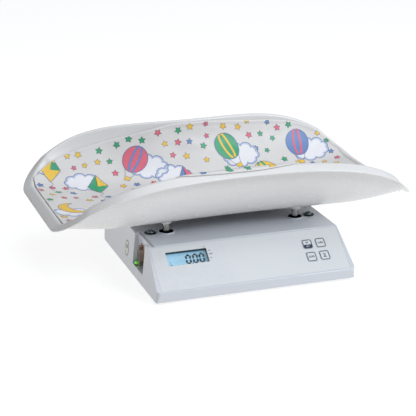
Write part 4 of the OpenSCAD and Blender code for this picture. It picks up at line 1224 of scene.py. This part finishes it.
def level_bubble():
    """The air bubble under the level's glass, and the ring it is read against."""
    x, y, z = LEVEL
    top = z + 5.5 + 0.9 + 0.02
    v, f, k = [], [], []
    # ring on the glass
    n = 40
    for r in (1.75, 2.05):
        v += [(x + r * math.cos(2 * math.pi * j / n), y + r * math.sin(2 * math.pi * j / n), top) for j in range(n)]
    f += [(j, n + j, n + (j + 1) % n, (j + 1) % n) for j in range(n)]
    k += [0] * n
    base = len(v)
    for r, h in ((0.0, 0.5), (0.5, 0.46), (0.9, 0.32), (1.15, 0.12), (1.2, 0.0)):
        v += [(x + 0.3 + r * math.cos(2 * math.pi * j / n), y + 0.2 + r * math.sin(2 * math.pi * j / n), top - 1.0 + h * 0.6) for j in range(n)]
    for i in range(4):
        f += [(base + i * n + j, base + (i + 1) * n + j, base + (i + 1) * n + (j + 1) % n, base + i * n + (j + 1) % n) for j in range(n)]
        k += [1] * n
    return piece("level_bubble", v, f, "base", ["ink_navy", "level_clear"], which=k)


level_bubble()


def decal_marks():
    """A plain ring and a green bar on the side label."""
    s, c = math.sin(DRAFT), math.cos(DRAFT)

    def place(u, v, w):
        # u along the side wall to the front, v up it, w out of it; the label's centre is at u 0, v 0
        x0 = -BASE_W / 2 + 27.2 * s - w * c
        return (x0 + v * s, BASE_Y + 12 - u, Z0 + 27.2 * c + v * c - w * s * -1 * -1)

    fl = Flat(place)
    ring = [(8.0 * math.cos(2 * math.pi * i / 48), 10.6 * math.sin(2 * math.pi * i / 48)) for i in range(48)]
    fl.line(ring, 1.6, "ink_dark", 0.34, True)
    fl.fill(rrect(0, 2.6, 7.4, 6.6, 3.0), "decal_green", 0.34)
    fl.fill(rrect(0, -4.4, 5.4, 3.6, 1.6), "decal_yellow", 0.34)
    return fl.make("side_decal_print", "base", "label_pale")


decal_marks()


def bending_cell():
    """The load cell's bar, taken from the CAD node and cut across its length into slices."""
    src = NODES["load_cell"]
    bm = bmesh.new()
    bm.from_mesh(src.data)
    bm.transform(src.matrix_world)
    bmesh.ops.remove_doubles(bm, verts=bm.verts, dist=1e-6)
    for x in np.linspace(-37, 37, 15):
        bmesh.ops.bisect_plane(bm, geom=bm.verts[:] + bm.edges[:] + bm.faces[:], dist=1e-7, plane_co=(x * MM, 0, 0), plane_no=(1, 0, 0))
    bm.verts.index_update()
    v = [tuple(c / MM for c in q.co) for q in bm.verts]
    f = [tuple(q.index for q in g.verts) for g in bm.faces]
    bm.free()
    o = piece("load_cell_bar", v, f, None, "cell_aluminium", ["load_cell"], smooth=False)
    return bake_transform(o)


bending_cell()


# ---------------------------------------------------------------- floor, light and world
def stage():
    me = bpy.data.meshes.new("floor")
    s = 9.0
    me.from_pydata([(-s, -s, 0), (s, -s, 0), (s, s, 0), (-s, s, 0)], [], [(0, 1, 2, 3)])
    o = bpy.data.objects.new("floor", me)
    SCENE.collection.objects.link(o)
    m, t, bsdf, out = graph("floor_pale")
    bsdf.inputs["Base Color"].default_value = (0.33, 0.33, 0.332, 1)
    bsdf.inputs["Roughness"].default_value = 0.85
    bsdf.inputs["Specular IOR Level"].default_value = 0.1
    bsdf.inputs["Emission Color"].default_value = (1, 1, 1, 1)
    bsdf.inputs["Emission Strength"].default_value = 0.79
    # seen from below the floor is clear
    geo = t.nodes.new("ShaderNodeNewGeometry")
    clear = t.nodes.new("ShaderNodeBsdfTransparent")
    mix = t.nodes.new("ShaderNodeMixShader")
    t.links.new(geo.outputs["Backfacing"], mix.inputs["Fac"])
    t.links.new(bsdf.outputs["BSDF"], mix.inputs[1])
    t.links.new(clear.outputs["BSDF"], mix.inputs[2])
    t.links.new(mix.outputs["Shader"], out.inputs["Surface"])
    m.cycles.emission_sampling = "NONE"
    me.materials.append(m)

    # soft room light: warm and dim at the left, cool and brighter at the right and above
    world = bpy.data.worlds.new("world")
    world.use_nodes = True
    world.cycles.sampling_method = "NONE"
    SCENE.world = world
    wt = world.node_tree
    wt.nodes.clear()
    wo = wt.nodes.new("ShaderNodeOutputWorld")
    bg = wt.nodes.new("ShaderNodeBackground")
    co = wt.nodes.new("ShaderNodeTexCoord")
    dot = wt.nodes.new("ShaderNodeVectorMath")
    dot.operation = "DOT_PRODUCT"
    dot.inputs[1].default_value = (0.72, -0.25, 0.64)
    wt.links.new(co.outputs["Generated"], dot.inputs[0])
    ramp = wt.nodes.new("ShaderNodeMapRange")
    ramp.inputs["From Min"].default_value, ramp.inputs["From Max"].default_value = -1.0, 1.0
    wt.links.new(dot.outputs["Value"], ramp.inputs["Value"])
    tone = wt.nodes.new("ShaderNodeValToRGB")
    tone.color_ramp.elements[0].position, tone.color_ramp.elements[1].position = 0.15, 0.95
    tone.color_ramp.elements[0].color, tone.color_ramp.elements[1].color = (0.08, 0.07, 0.055, 1), (0.585, 0.60, 0.635, 1)
    wt.links.new(ramp.outputs["Result"], tone.inputs["Fac"])
    wt.links.new(tone.outputs["Color"], bg.inputs["Color"])
    bg.inputs["Strength"].default_value = 1.0
    wt.links.new(bg.outputs["Background"], wo.inputs["Surface"])

    def soft(name, at, aim, size, power, colour=(1, 1, 1)):
        d = bpy.data.lights.new(name, "AREA")
        d.shape, d.size, d.size_y, d.energy, d.color = "RECTANGLE", size[0], size[1], power, colour
        ob = bpy.data.objects.new(name, d)
        SCENE.collection.objects.link(ob)
        ob.location = at
        ob.rotation_mode = "QUATERNION"
        ob.rotation_quaternion = (Vector(aim) - Vector(at)).to_track_quat("-Z", "Y")

    soft("top_box", (0.1, -0.15, 1.9), (0, 0, 0.05), (1.5, 1.2), 11.0, (0.94, 0.97, 1.0))
    soft("front_box", (1.2, -1.5, 1.5), (0, 0, 0.08), (1.2, 0.9), 26.5, (0.90, 0.95, 1.0))
    SCENE.view_settings.view_transform = "Standard"
    SCENE.view_settings.look = "None"
    SCENE.view_settings.exposure = 0.0
    SCENE.view_settings.gamma = 1.0


stage()
